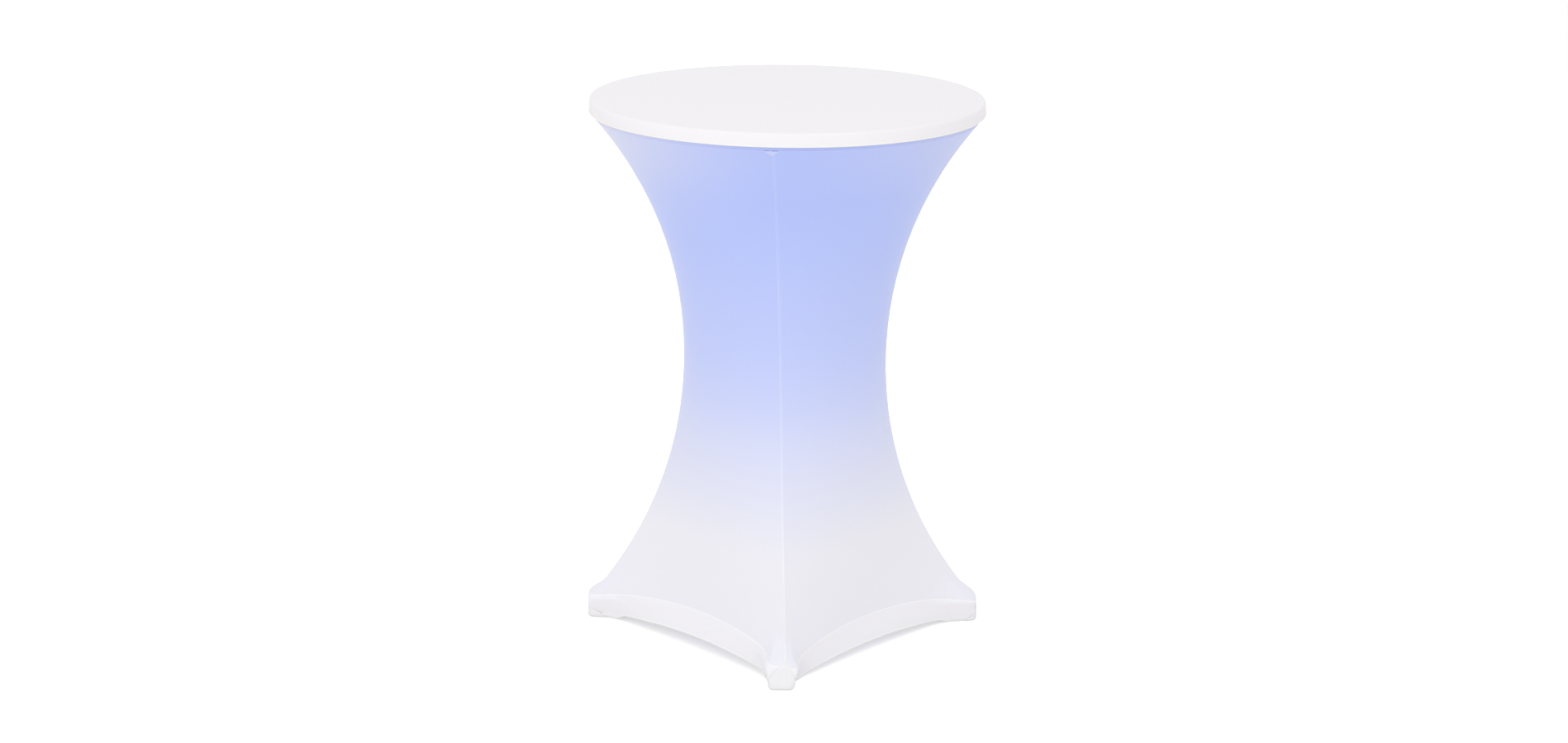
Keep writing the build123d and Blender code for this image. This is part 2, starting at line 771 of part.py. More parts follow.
# Levelling glides. The foot swivels on the stud's ball, and the stud climbs into its boss.
pad_bottom = pocket_wall + free_gap
pad_top = pad_bottom + glide_pad_height
collar_top = pad_top + glide_collar_height
ball_height = pad_bottom + glide_pad_floor + glide_ball_clearance + glide_ball_radius
hex_bottom = collar_top + free_gap
hex_top = hex_bottom + glide_hex_height
for glide_name, glide_azimuth in leg_azimuths.items():
    glide_spot = level_point(glide_centre, glide_azimuth)
    with BuildPart() as glide_pad:
        with BuildSketch(Plane.XY.offset(pad_bottom)):
            with Locations(glide_spot):
                Circle(glide_pad_radius)
        extrude(amount=glide_pad_height)
        fillet(glide_pad.edges(), glide_pad_round)
        with BuildSketch(Plane.XY.offset(pad_top - glide_pad_round)):
            with Locations(glide_spot):
                Circle(glide_collar_radius)
        extrude(amount=glide_collar_height + glide_pad_round)
        with Locations((*glide_spot, ball_height)):
            Sphere(glide_ball_radius + glide_ball_clearance, mode=Mode.SUBTRACT)
        with BuildSketch(Plane.XY.offset(ball_height)):
            with Locations(glide_spot):
                Circle(glide_neck_radius + glide_neck_clearance)
        extrude(amount=glide_collar_height + overrun, mode=Mode.SUBTRACT)
    glide_pad.part.label = "glide_pad_" + glide_name
    export_step(glide_pad.part, "parts/glide_pad_" + glide_name + ".step")

    with BuildPart() as glide_stud:
        with Locations((*glide_spot, ball_height)):
            Sphere(glide_ball_radius)
        with BuildSketch(Plane.XY.offset(ball_height)):
            with Locations(glide_spot):
                Circle(glide_neck_radius)
        extrude(amount=hex_bottom - ball_height)
        with BuildSketch(Plane.XY.offset(hex_bottom)):
            with Locations(glide_spot):
                RegularPolygon(hex_radius(glide_hex_flats), hex_sides)
        extrude(amount=glide_hex_height)
        with BuildSketch(Plane.XY.offset(hex_top)):
            with Locations(glide_spot):
                Circle(glide_stud_radius)
        extrude(amount=glide_stud_top - hex_top)
        chamfer(glide_stud.faces().sort_by(Axis.Z)[-1].edges(), glide_stud_chamfer)
    glide_stud.part.label = "glide_stud_" + glide_name
    export_step(glide_stud.part, "parts/glide_stud_" + glide_name + ".step")

with BuildPart() as glide_lock_nuts:
    with BuildSketch(Plane.XY.offset(glide_boss_low - glide_nut_height)):
        with PolarLocations(glide_centre, len(arms)):
            RegularPolygon(hex_radius(glide_nut_flats), hex_sides)
            Circle(glide_stud_radius + glide_bore_clearance, mode=Mode.SUBTRACT)
    extrude(amount=glide_nut_height)
glide_lock_nuts.part.label = "glide_lock_nuts"
export_step(glide_lock_nuts.part, "parts/glide_lock_nuts.step")


# Ring lamp. Each half is a moulded half ring, open below, with a frosted diffuser under it.
bay_roof = lamp_top - lamp_roof
cell_height = bay_roof - free_gap - cell_radius
bay_floor_top = cell_height - cell_radius - free_gap
bay_floor_low = bay_floor_top - bay_floor_thickness
post_foot = lamp_bottom + diffuser_thickness
led_board_low = lamp_bottom + led_board_rise
led_board_top = led_board_low + led_board_thickness
lamp_middle = lamp_bottom + lamp_height / 2
control_height = lamp_bottom + control_rise
hinge_axis = (0, lamp_radius + hinge_offset)
door_inner = lamp_radius + free_gap
door_low = bay_floor_top - door_overlap
door_high = bay_roof + door_overlap
flange_out = sqrt(
    (lamp_radius - lamp_wall) ** 2 - (button_offset + button_flange_radius) ** 2
) - button_clearance
flange_in = flange_out - button_flange_thickness
switch_face = flange_in - button_travel - switch_spare
control_board_face = switch_face - switch_depth
half_turn = 2 * quarter_turn
lamp_halves = {"fixed": quarter_turn, "swing": quarter_turn + half_turn}
bay_middle = half_turn


def half_plane(start):
    """Upright plane where a half ring starts, turned so that it revolves away from there."""
    return Plane(
        origin=(0, 0, 0),
        x_dir=(cos(radians(start)), sin(radians(start)), 0),
        z_dir=(sin(radians(start)), -cos(radians(start)), 0),
    )


def half_ring(start, points, end_gap, edge_round=0):
    """Half ring revolved from a section and cut back from the parting plane at both ends."""
    side = 1 if start == lamp_halves["swing"] else -1
    keep_plane = Plane(origin=(side * end_gap, 0, 0), z_dir=(side, 0, 0))
    with BuildPart() as ring:
        with BuildSketch(half_plane(start)) as section:
            with BuildLine():
                Polyline(*points, close=True)
            make_face()
            if edge_round:
                fillet(section.vertices().group_by(Axis.X)[-1].sort_by(Axis.Y)[-1:], edge_round)
        revolve(axis=Axis.Z, revolution_arc=half_turn)
        split(bisect_by=keep_plane, keep=Keep.TOP)
    return ring.part


def out_plane(radius, sideways, height):
    """Plane at the left of the fixed half that faces outwards, along -X."""
    return Plane(origin=(-radius, sideways, height), x_dir=(0, 1, 0), z_dir=(-1, 0, 0))


def parting_plane(place, offset, height):
    """Plane at the front ends of the half rings that faces along +X."""
    return Plane(origin=(place, -lamp_post_circle + offset, height), x_dir=(0, 1, 0), z_dir=(1, 0, 0))


diffuser_bend = lamp_radius - lamp_chamfer
diffuser_rim = lamp_bottom + lamp_chamfer - free_gap
diffuser_section = [
    (lamp_bore_radius + lamp_wall + free_gap, lamp_bottom), (diffuser_bend, lamp_bottom),
    (lamp_radius, diffuser_rim), (lamp_radius - diffuser_thickness, diffuser_rim),
    (diffuser_bend - free_gap, post_foot), (lamp_bore_radius + lamp_wall + free_gap, post_foot),
]
housing_section = [
    (lamp_bore_radius, lamp_bottom), (lamp_bore_radius + lamp_wall, lamp_bottom),
    (lamp_bore_radius + lamp_wall, post_foot + free_gap),
    (diffuser_bend - 2 * free_gap, post_foot + free_gap),
    (lamp_radius - diffuser_thickness - free_gap, diffuser_rim + free_gap),
    (lamp_radius, diffuser_rim + free_gap), (lamp_radius, lamp_top), (lamp_bore_radius, lamp_top),
]
cavity_section = [
    (lamp_bore_radius + lamp_wall, lamp_bottom - overrun),
    (lamp_radius - lamp_wall, lamp_bottom - overrun),
    (lamp_radius - lamp_wall, bay_roof), (lamp_bore_radius + lamp_wall, bay_roof),
]
knuckle_length = (hinge_length - (knuckles - 1) * knuckle_gap) / knuckles
hinge_low = lamp_bottom + (lamp_chamfer + lamp_height - hinge_length) / 2
magnet_heights = [lamp_bottom + share * lamp_height for share in magnet_rise_shares]
pin_height = lamp_bottom + pin_contact_rise_share * lamp_height

for half_name, half_start in lamp_halves.items():
    fixed = half_name == "fixed"
    side = -1 if fixed else 1
    half_middle = half_start + quarter_turn
    post_azimuths = [
        half_middle + way * azimuth for azimuth in lamp_post_azimuths for way in (-1, 1)
    ]
    posts = [level_point(lamp_post_circle, azimuth) for azimuth in post_azimuths]

    # Housing with its screw posts, hinge knuckles and magnet pockets
    with BuildPart() as housing:
        add(half_ring(half_start, housing_section, half_parting, lamp_edge_round))
        add(half_ring(half_start, cavity_section, half_parting + end_wall), mode=Mode.SUBTRACT)
        with BuildSketch(Plane.XY.offset(post_foot)):
            with Locations(*posts):
                Circle(lamp_post_radius)
        extrude(amount=led_board_top - post_foot)
        for azimuth in post_azimuths:
            over_bay = fixed and abs(azimuth - bay_middle) < bay_half_angle
            with BuildSketch(Plane.XY.offset(led_board_top)):
                with Locations(level_point(lamp_post_circle, azimuth)):
                    Circle(lamp_post_radius + lamp_post_shoulder)
            extrude(amount=(bay_floor_low if over_bay else bay_roof) - led_board_top)
        if fixed:
            bay_start = bay_middle - bay_half_angle
            with BuildSketch(Plane.XY.offset(bay_floor_low)):
                add(ring_sector(bay_floor_inner, lamp_radius - lamp_wall / 2, bay_start,
                                2 * bay_half_angle))
            extrude(amount=bay_floor_thickness)
            with BuildSketch(Plane.XY.offset(bay_floor_low)):
                for azimuth in (-cell_pitch_angle / 2, cell_pitch_angle / 2):
                    rib_middle = level_point((bay_rib_inner + lamp_radius - lamp_wall) / 2,
                                             bay_middle + azimuth)
                    with Locations(Location((*rib_middle, 0), (0, 0, bay_middle + azimuth))):
                        Rectangle(lamp_radius - lamp_wall - bay_rib_inner, bay_rib_thickness)
            extrude(amount=bay_roof - bay_floor_low)
            with BuildSketch(Plane.XY.offset(bay_floor_top)):
                add(ring_sector(lamp_radius - lamp_wall - overrun, lamp_radius + overrun, bay_start,
                                2 * bay_half_angle))
            extrude(amount=bay_roof - bay_floor_top, mode=Mode.SUBTRACT)
            rail_angle = door_half_angle + door_rail_angle
            lip_outer = door_inner + door_thickness + free_gap + door_rail_lip
            with BuildSketch(Plane.XY.offset(door_low - free_gap - door_rail_lip)):
                add(ring_sector(lamp_radius - lamp_wall / 2, lip_outer, bay_middle - rail_angle,
                                2 * rail_angle))
            extrude(amount=door_rail_lip)
            with BuildSketch(Plane.XY.offset(door_low - free_gap)):
                for way in (-1, 1):
                    outer_end = bay_middle + way * rail_angle
                    add(ring_sector(lamp_radius - lamp_wall / 2, lip_outer, outer_end,
                                    -way * (door_rail_angle - door_rail_lip_angle)))
                    add(ring_sector(lip_outer - door_rail_lip, lip_outer, outer_end,
                                    -way * (door_rail_angle + door_rail_lip_angle)))
            extrude(amount=door_high - door_low)
            for offset in (-button_offset, button_offset):
                with BuildSketch(out_plane(flange_in, offset, control_height)):
                    Circle(button_radius + button_clearance)
                extrude(amount=lamp_radius - flange_in + overrun, mode=Mode.SUBTRACT)
            with BuildSketch(out_plane(flange_in, 0, control_height)):
                Circle(sensor_radius + layer_ease)
            extrude(amount=lamp_radius - flange_in + overrun, mode=Mode.SUBTRACT)
        with BuildSketch(Plane.XY.offset(post_foot)):
            with Locations(*posts):
                Circle(lamp_screw_radius + lamp_screw_clearance)
        extrude(amount=lamp_screw_length, mode=Mode.SUBTRACT)

        # Knuckles: the fixed half has the two outer ones and the swing half the middle one
        knuckle_lows = [hinge_low, hinge_low + 2 * (knuckle_length + knuckle_gap)]
        if not fixed:
            knuckle_lows = [hinge_low + knuckle_length + knuckle_gap]
        for knuckle_low in knuckle_lows:
            with BuildSketch(Plane.XY.offset(knuckle_low)):
                with Locations(hinge_axis):
                    Circle(knuckle_radius)
                with Locations((side * hinge_root_reach, lamp_radius - hinge_root_radius)):
                    Circle(hinge_root_radius)
                make_hull()
                Circle(lamp_radius - lamp_wall, mode=Mode.SUBTRACT)
                with Locations(hinge_axis):
                    Circle(hinge_pin_radius + hinge_pin_clearance, mode=Mode.SUBTRACT)
            extrude(amount=knuckle_length)

        # Magnet pockets and current contacts in the front parting face
        for magnet_height in magnet_heights:
            with BuildSketch(parting_plane(side * half_parting, 0, magnet_height)):
                Circle(magnet_radius + magnet_clearance)
            extrude(amount=side * (magnet_length + magnet_clearance), mode=Mode.SUBTRACT)
        for way in (-1, 1):
            contact_offset = way * pin_contact_spacing / 2
            if fixed:
                with BuildSketch(parting_plane(-half_parting, contact_offset, pin_height)):
                    Circle(pin_contact_radius + layer_ease)
                extrude(amount=-(end_wall + overrun), mode=Mode.SUBTRACT)
            else:
                with BuildSketch(parting_plane(half_parting, contact_offset, pin_height)):
                    Circle(pad_contact_radius + layer_ease)
                extrude(amount=pad_contact_thickness, mode=Mode.SUBTRACT)
    housing.part.label = "lamp_housing_" + half_name
    export_step(housing.part, "parts/lamp_housing_" + half_name + ".step")

    with BuildPart() as diffuser:
        add(half_ring(half_start, diffuser_section, half_parting))
        with BuildSketch(Plane.XY.offset(lamp_bottom)):
            with Locations(*posts):
                Circle(lamp_screw_radius + lamp_screw_clearance)
        extrude(amount=diffuser_thickness, mode=Mode.SUBTRACT)
        with BuildSketch(Plane.XY.offset(lamp_bottom)):
            with Locations(*posts):
                Circle(lamp_screw_head_radius + lamp_screw_clearance)
        extrude(amount=lamp_screw_head_height, mode=Mode.SUBTRACT)
    diffuser.part.label = "lamp_diffuser_" + half_name
    export_step(diffuser.part, "parts/lamp_diffuser_" + half_name + ".step")

    with BuildPart() as lamp_screws:
        with BuildSketch(Plane.XY.offset(lamp_bottom)):
            with Locations(*posts):
                Circle(lamp_screw_head_radius)
        extrude(amount=lamp_screw_head_height)
        with BuildSketch(Plane.XY.offset(lamp_bottom + lamp_screw_head_height)):
            with Locations(*posts):
                Circle(lamp_screw_radius)
        extrude(amount=lamp_screw_length - lamp_screw_head_height)
    lamp_screws.part.label = "lamp_screws_" + half_name
    export_step(lamp_screws.part, "parts/lamp_screws_" + half_name + ".step")

    board_reach = half_parting + led_board_end_gap
    with BuildPart() as led_board:
        add(half_ring(half_start, [
            (led_board_inner, led_board_low), (led_board_outer, led_board_low),
            (led_board_outer, led_board_top), (led_board_inner, led_board_top),
        ], board_reach))
        with BuildSketch(Plane.XY.offset(led_board_low)):
            with Locations(*posts):
                Circle(lamp_post_radius + lamp_post_clearance)
        extrude(amount=led_board_thickness, mode=Mode.SUBTRACT)
    led_board.part.label = "led_board_" + half_name
    export_step(led_board.part, "parts/led_board_" + half_name + ".step")

    led_pitch = half_turn / leds_per_circle
    with BuildPart() as led_chips:
        with BuildSketch(Plane.XY.offset(led_board_low - led_height)):
            for led_circle in led_circles:
                with PolarLocations(led_circle, leds_per_circle, half_start + led_pitch / 2,
                                    half_turn - led_pitch, endpoint=True):
                    Rectangle(led_size, led_size)
        extrude(amount=led_height)
    led_chips.part.label = "led_chips_" + half_name
    export_step(led_chips.part, "parts/led_chips_" + half_name + ".step")

    with BuildPart() as magnets:
        for magnet_height in magnet_heights:
            with BuildSketch(parting_plane(side * half_parting, 0, magnet_height)):
                Circle(magnet_radius)
            extrude(amount=side * magnet_length)
    magnets.part.label = "lamp_magnets_" + half_name
    export_step(magnets.part, "parts/lamp_magnets_" + half_name + ".step")

    with BuildPart() as grip_pads:
        with BuildSketch(Plane.XY.offset(lamp_middle - grip_pad_height / 2)):
            for azimuth in grip_pad_azimuths:
                add(ring_sector(column_radius + free_gap, lamp_bore_radius - layer_ease,
                                half_start + azimuth - grip_pad_half_angle, 2 * grip_pad_half_angle))
        extrude(amount=grip_pad_height)
    grip_pads.part.label = "grip_pads_" + half_name
    export_step(grip_pads.part, "parts/grip_pads_" + half_name + ".step")


# Hinge pin through the knuckles, headed at both ends
with BuildPart() as hinge_pin:
    with BuildSketch(Plane.XY.offset(hinge_low)):
        with Locations(hinge_axis):
            Circle(hinge_pin_radius)
    extrude(amount=hinge_length)
    for head_low in (hinge_low - hinge_pin_head_height, hinge_low + hinge_length):
        with BuildSketch(Plane.XY.offset(head_low)):
            with Locations(hinge_axis):
                Circle(hinge_pin_head_radius)
        extrude(amount=hinge_pin_head_height)
hinge_pin.part.label = "hinge_pin"
export_step(hinge_pin.part, "parts/hinge_pin.step")

# Spring pins in the fixed half carry current to two pads in the swing half
with BuildPart() as current_pins:
    for way in (-1, 1):
        with BuildSketch(parting_plane(-half_parting + layer_ease, way * pin_contact_spacing / 2,
                                       pin_height)):
            Circle(pin_contact_radius)
        extrude(amount=-pin_contact_length)
current_pins.part.label = "current_pins"
export_step(current_pins.part, "parts/current_pins.step")

with BuildPart() as current_pads:
    for way in (-1, 1):
        with BuildSketch(parting_plane(half_parting, way * pin_contact_spacing / 2, pin_height)):
            Circle(pad_contact_radius)
        extrude(amount=pad_contact_thickness)
current_pads.part.label = "current_pads"
export_step(current_pads.part, "parts/current_pads.step")


# Battery bay: three cells in a row round the fixed half, with contacts at their ends
def cell_plane(number, along):
    """Plane across a cell's length, a distance along it from its middle."""
    azimuth = bay_middle + (number - (cell_count - 1) / 2) * cell_pitch_angle
    tangent = (-sin(radians(azimuth)), cos(radians(azimuth)), 0)
    centre = level_point(cell_circle, azimuth)
    origin = (centre[0] + along * tangent[0], centre[1] + along * tangent[1], cell_height)
    return Plane(origin=origin, x_dir=(0, 0, 1), z_dir=tangent)


with BuildPart() as battery_cells:
    for cell in range(cell_count):
        with BuildSketch(cell_plane(cell, -cell_length / 2)):
            Circle(cell_radius)
        extrude(amount=cell_length)
        with BuildSketch(cell_plane(cell, cell_length / 2)):
            Circle(cell_nub_radius)
        extrude(amount=cell_nub_length)
battery_cells.part.label = "battery_cells"
export_step(battery_cells.part, "parts/battery_cells.step")

with BuildPart() as battery_contacts:
    for cell in range(cell_count):
        front = cell_length / 2 + cell_nub_length + contact_gap
        back = -cell_length / 2 - contact_gap - contact_thickness
        for along in (front, back):
            with BuildSketch(cell_plane(cell, along)):
                with Locations((bay_floor_top - cell_height + contact_width / 2, 0)):
                    Rectangle(contact_width, contact_width)
            extrude(amount=contact_thickness)
battery_contacts.part.label = "battery_contacts"
export_step(battery_contacts.part, "parts/battery_contacts.step")

# Battery door: a curved plate that lifts out of two rails, with grip ribs at its middle
with BuildPart() as battery_door:
    with BuildSketch(Plane.XY.offset(door_low)):
        add(ring_sector(door_inner, door_inner + door_thickness, bay_middle - door_half_angle,
                        2 * door_half_angle))
    extrude(amount=door_high - door_low)
    grip_angle = degrees(door_grip_width / lamp_radius)
    first_grip = bay_middle - grip_angle / 2 - door_grip_pitch_angle * (door_grips - 1) / 2
    with BuildSketch(Plane.XY.offset(door_low + door_grip_rise)):
        for grip in range(door_grips):
            add(ring_sector(door_inner + door_thickness / 2,
                            door_inner + door_thickness + door_grip_rise,
                            first_grip + grip * door_grip_pitch_angle, grip_angle))
    extrude(amount=door_high - door_low - 2 * door_grip_rise)
battery_door.part.label = "battery_door"
export_step(battery_door.part, "parts/battery_door.step")


# Controls: two push buttons, the remote sensor's window and the switch board behind them
for button_name, button_side in {"power_button": -1, "colour_button": 1}.items():
    button_place = button_side * button_offset
    with BuildPart() as push_button:
        with BuildSketch(out_plane(flange_in, button_place, control_height)):
            Circle(button_flange_radius)
        extrude(amount=button_flange_thickness)
        with BuildSketch(out_plane(flange_out, button_place, control_height)):
            Circle(button_radius)
        extrude(amount=lamp_radius + button_stand_out - flange_out)
        fillet(push_button.faces().sort_by(Axis.X)[0].edges(), button_dome)
    push_button.part.label = button_name
    export_step(push_button.part, "parts/" + button_name + ".step")

with BuildPart() as sensor_window:
    with BuildSketch(out_plane(lamp_radius - sensor_length, 0, control_height)):
        Circle(sensor_radius)
    extrude(amount=sensor_length)
sensor_window.part.label = "sensor_window"
export_step(sensor_window.part, "parts/sensor_window.step")

with BuildPart() as control_board:
    board_middle = led_board_top + control_board_height / 2
    with BuildSketch(out_plane(control_board_face - control_board_thickness, 0, board_middle)):
        Rectangle(control_board_width, control_board_height)
    extrude(amount=control_board_thickness)
    for offset in (-button_offset, button_offset):
        with BuildSketch(out_plane(control_board_face, offset, control_height)):
            Rectangle(switch_size, switch_size)
        extrude(amount=switch_depth)
control_board.part.label = "control_board"
export_step(control_board.part, "parts/control_board.step")
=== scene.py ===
from math import cos, pi, radians, sin, sqrt

import bpy
import numpy as np
from mathutils import Matrix, Vector


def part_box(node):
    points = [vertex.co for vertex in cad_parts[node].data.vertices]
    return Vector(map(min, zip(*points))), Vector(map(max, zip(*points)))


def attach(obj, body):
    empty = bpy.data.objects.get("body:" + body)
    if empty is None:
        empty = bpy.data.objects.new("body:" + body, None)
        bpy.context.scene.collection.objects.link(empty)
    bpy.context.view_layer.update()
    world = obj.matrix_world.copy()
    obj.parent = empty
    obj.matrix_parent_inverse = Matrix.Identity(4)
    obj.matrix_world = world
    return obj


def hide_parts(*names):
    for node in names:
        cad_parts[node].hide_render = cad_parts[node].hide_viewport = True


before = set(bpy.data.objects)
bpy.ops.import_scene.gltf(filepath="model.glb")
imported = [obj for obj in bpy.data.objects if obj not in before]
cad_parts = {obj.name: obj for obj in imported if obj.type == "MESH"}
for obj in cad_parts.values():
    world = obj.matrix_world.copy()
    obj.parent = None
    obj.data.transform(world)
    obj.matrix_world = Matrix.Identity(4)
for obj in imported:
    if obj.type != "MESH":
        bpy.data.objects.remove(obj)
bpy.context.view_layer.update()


# Cast cross base and spider plate, with the column tube between them.
# Grey iron castings and a drawn steel tube, all in one black powder coat, which gives a
# faint orange peel and a soft, even gloss.
def from_hex(colour):
    """Linear colour from an sRGB hex value."""
    shares = [int(colour[at:at + 2], 16) / 255 for at in (1, 3, 5)]
    linear = [share / 12.92 if share <= 0.04045 else ((share + 0.055) / 1.055) ** 2.4
              for share in shares]
    return (*linear, 1.0)


def add_node(tree, kind, inputs=None, **settings):
    """Adds a node with its settings. An input is a value, or an output to link from."""
    made = tree.nodes.new(kind)
    for name, value in settings.items():
        setattr(made, name, value)
    for name, value in (inputs or {}).items():
        if isinstance(value, bpy.types.NodeSocket):
            tree.links.new(value, made.inputs[name])
        else:
            made.inputs[name].default_value = value
    return made


def new_finish(name, colour, **sockets):
    """Material with its main colour and the sockets that are the same all over."""
    material = bpy.data.materials.new(name)
    material.use_nodes = True
    shader = material.node_tree.nodes["Principled BSDF"]
    shader.inputs["Base Color"].default_value = from_hex(colour)
    for socket, value in sockets.items():
        shader.inputs[socket.replace("_", " ")].default_value = value
    return material, material.node_tree, shader


def grain(tree, spacing, detail=3.0, stretch=(1, 1, 1)):
    """Cloudy pattern whose cells are a real size apart, fixed to the piece."""
    place = add_node(tree, "ShaderNodeTexCoord").outputs["Object"]
    scaled = add_node(tree, "ShaderNodeMapping", {"Vector": place, "Scale": stretch})
    return add_node(tree, "ShaderNodeTexNoise", {
        "Vector": scaled.outputs["Vector"], "Scale": 1 / spacing, "Detail": detail,
    }).outputs["Fac"]


def press_in(tree, shader, height, depth):
    """Gives the surface a relief from a pattern, of a real depth."""
    relief = add_node(tree, "ShaderNodeBump", {"Height": height, "Distance": depth})
    tree.links.new(relief.outputs["Normal"], shader.inputs["Normal"])


def vary(tree, shader, socket, pattern, low, high):
    """Lets a number on the shader wander between two values with a pattern."""
    spread = add_node(tree, "ShaderNodeMapRange", {
        "Value": pattern, "From Min": 0.3, "From Max": 0.7, "To Min": low, "To Max": high,
    })
    tree.links.new(spread.outputs["Result"], shader.inputs[socket])


def tint(tree, shader, pattern, first, second):
    """Mixes two colours by a pattern into the base colour."""
    mixed = add_node(tree, "ShaderNodeMix", {
        0: pattern, 6: from_hex(first), 7: from_hex(second),
    }, data_type="RGBA")
    tree.links.new(mixed.outputs[2], shader.inputs["Base Color"])


def dress(material, *names):
    """Gives CAD nodes their finish."""
    for name in names:
        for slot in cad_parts[name].material_slots:
            slot.link = "OBJECT"
            slot.material = material


powder_coat, coat_tree, coat_shader = new_finish(
    "black_powder_coat_on_cast_iron", "#1c1c1e", Roughness=0.42, Metallic=0.0, IOR=1.5)
casting_grain = grain(coat_tree, 0.0025)
vary(coat_tree, coat_shader, "Roughness", casting_grain, 0.36, 0.52)
press_in(coat_tree, coat_shader, casting_grain, 0.00015)
dress(powder_coat, "cross_base", "spider_plate", "column_tube")


# Tie rod, washer, nut, wood screws, glide studs and lock nuts.
# Cold-formed steel with a bright zinc plate, a little cloudy from handling.
zinc_plate, zinc_tree, zinc_shader = new_finish(
    "zinc_plated_steel", "#c4c6c9", Metallic=1.0, Roughness=0.34)
plate_cloud = grain(zinc_tree, 0.004)
vary(zinc_tree, zinc_shader, "Roughness", plate_cloud, 0.27, 0.42)
tint(zinc_tree, zinc_shader, plate_cloud, "#b9bcc2", "#cfcdc6")
dress(zinc_plate, "tie_rod", "tie_rod_washer", "tie_rod_nut", "spider_screws", "glide_lock_nuts",
      "lamp_screws_fixed", "lamp_screws_swing")

legs = {"right": 0, "back": 90, "left": 180, "front": 270}
for leg in legs:
    dress(zinc_plate, "glide_stud_" + leg)


# Swivel feet of the levelling glides, each snapped on the ball of its stud: moulded black
# nylon, satin, with a fine mould texture.
nylon, nylon_tree, nylon_shader = new_finish(
    "moulded_black_nylon", "#222224", Roughness=0.5, IOR=1.53)
press_in(nylon_tree, nylon_shader, grain(nylon_tree, 0.0012), 0.00005)
for leg in legs:
    dress(nylon, "glide_pad_" + leg)


# Tabletop board: laminated birch ply with a sealed face. The grain runs along X on the
# faces, and the edge shows the plies one above the other.
board_low, board_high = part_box("tabletop_board")
ply_count = 17
birch, birch_tree, birch_shader = new_finish("birch_plywood", "#c9a878", Roughness=0.5, IOR=1.5)
veneer_grain = grain(birch_tree, 0.0016, 4.0, (0.06, 1, 1))
board_place = add_node(birch_tree, "ShaderNodeTexCoord").outputs["Object"]
board_axes = add_node(birch_tree, "ShaderNodeSeparateXYZ", {"Vector": board_place})
ply_count_up = add_node(birch_tree, "ShaderNodeMath", {
    0: board_axes.outputs["Z"], 1: pi * ply_count / (board_high.z - board_low.z),
}, operation="MULTIPLY")
ply_wave = add_node(birch_tree, "ShaderNodeMath", {0: ply_count_up.outputs[0]}, operation="SINE")
ply_tone = add_node(birch_tree, "ShaderNodeMath", {
    0: ply_wave.outputs[0], 1: 0.35, 2: veneer_grain,
}, operation="MULTIPLY_ADD")
tint(birch_tree, birch_shader, ply_tone.outputs[0], "#a87f4e", "#d8bd92")
press_in(birch_tree, birch_shader, veneer_grain, 0.0001)
dress(birch, "tabletop_board")


# Bumper edge round the board: extruded grey-beige vinyl, satin and slightly uneven, whose
# barbed tongue is pressed into a groove in the board's edge.
vinyl, vinyl_tree, vinyl_shader = new_finish("extruded_vinyl", "#c9c6bd", Roughness=0.46, IOR=1.54)
press_in(vinyl_tree, vinyl_shader, grain(vinyl_tree, 0.0015), 0.00006)
dress(vinyl, "tabletop_bumper")


# Ring lamp housings and battery door: injection-moulded white ABS with a spark-eroded
# texture, which gives a dry, even sheen. The two buttons are the same ABS in grey.
abs_white, abs_tree, abs_shader = new_finish(
    "moulded_abs_white", "#ecebe8", Roughness=0.48, IOR=1.53)
spark_texture = grain(abs_tree, 0.0006)
press_in(abs_tree, abs_shader, spark_texture, 0.00005)
vary(abs_tree, abs_shader, "Roughness", spark_texture, 0.42, 0.56)
dress(abs_white, "lamp_housing_fixed", "lamp_housing_swing", "battery_door")

abs_grey, button_tree, button_shader = new_finish(
    "moulded_abs_grey", "#6d7176", Roughness=0.3, IOR=1.53)
press_in(button_tree, button_shader, grain(button_tree, 0.0008), 0.00002)
dress(abs_grey, "power_button", "colour_button")


# Diffusers under the ring and the LED packages above them. The diffusers are frosted
# polycarbonate, moulded and held by screws, and glow blue, a little brighter here and there.
# The packages are white ceramic filled with a clear yellowish gel, lit.
lamp_light = from_hex("#5d88ff")
frosted, frosted_tree, frosted_shader = new_finish(
    "frosted_polycarbonate", "#c3cdea", Roughness=0.55, IOR=1.58, Emission_Color=lamp_light)
vary(frosted_tree, frosted_shader, "Emission Strength", grain(frosted_tree, 0.02), 0.9, 1.2)
dress(frosted, "lamp_diffuser_fixed", "lamp_diffuser_swing")

led_gel, gel_tree, gel_shader = new_finish(
    "led_package_gel", "#e9edc8", Roughness=0.25, IOR=1.5, Emission_Color=lamp_light)
vary(gel_tree, gel_shader, "Emission Strength", grain(gel_tree, 0.002), 3.5, 4.5)
dress(led_gel, "led_chips_fixed", "led_chips_swing")


# Circuit boards of the two halves and of the controls: glass epoxy under a white solder
# mask, printed on and baked, through which the copper tracks show as faint steps.
solder_mask, mask_tree, mask_shader = new_finish(
    "white_solder_mask", "#e8ebe7", Roughness=0.33, IOR=1.5)
mask_place = add_node(mask_tree, "ShaderNodeTexCoord").outputs["Object"]
track_width = 0.0024
tracks = add_node(mask_tree, "ShaderNodeTexBrick", {
    "Vector": mask_place, "Scale": 1 / track_width, "Mortar Size": 0.06,
    "Color1": from_hex("#e8ebe7"), "Color2": from_hex("#dfe4e2"), "Mortar": from_hex("#c9cfcc"),
})
mask_tree.links.new(tracks.outputs["Color"], mask_shader.inputs["Base Color"])
press_in(mask_tree, mask_shader, tracks.outputs["Fac"], 0.00004)
dress(solder_mask, "led_board_fixed", "led_board_swing", "control_board")


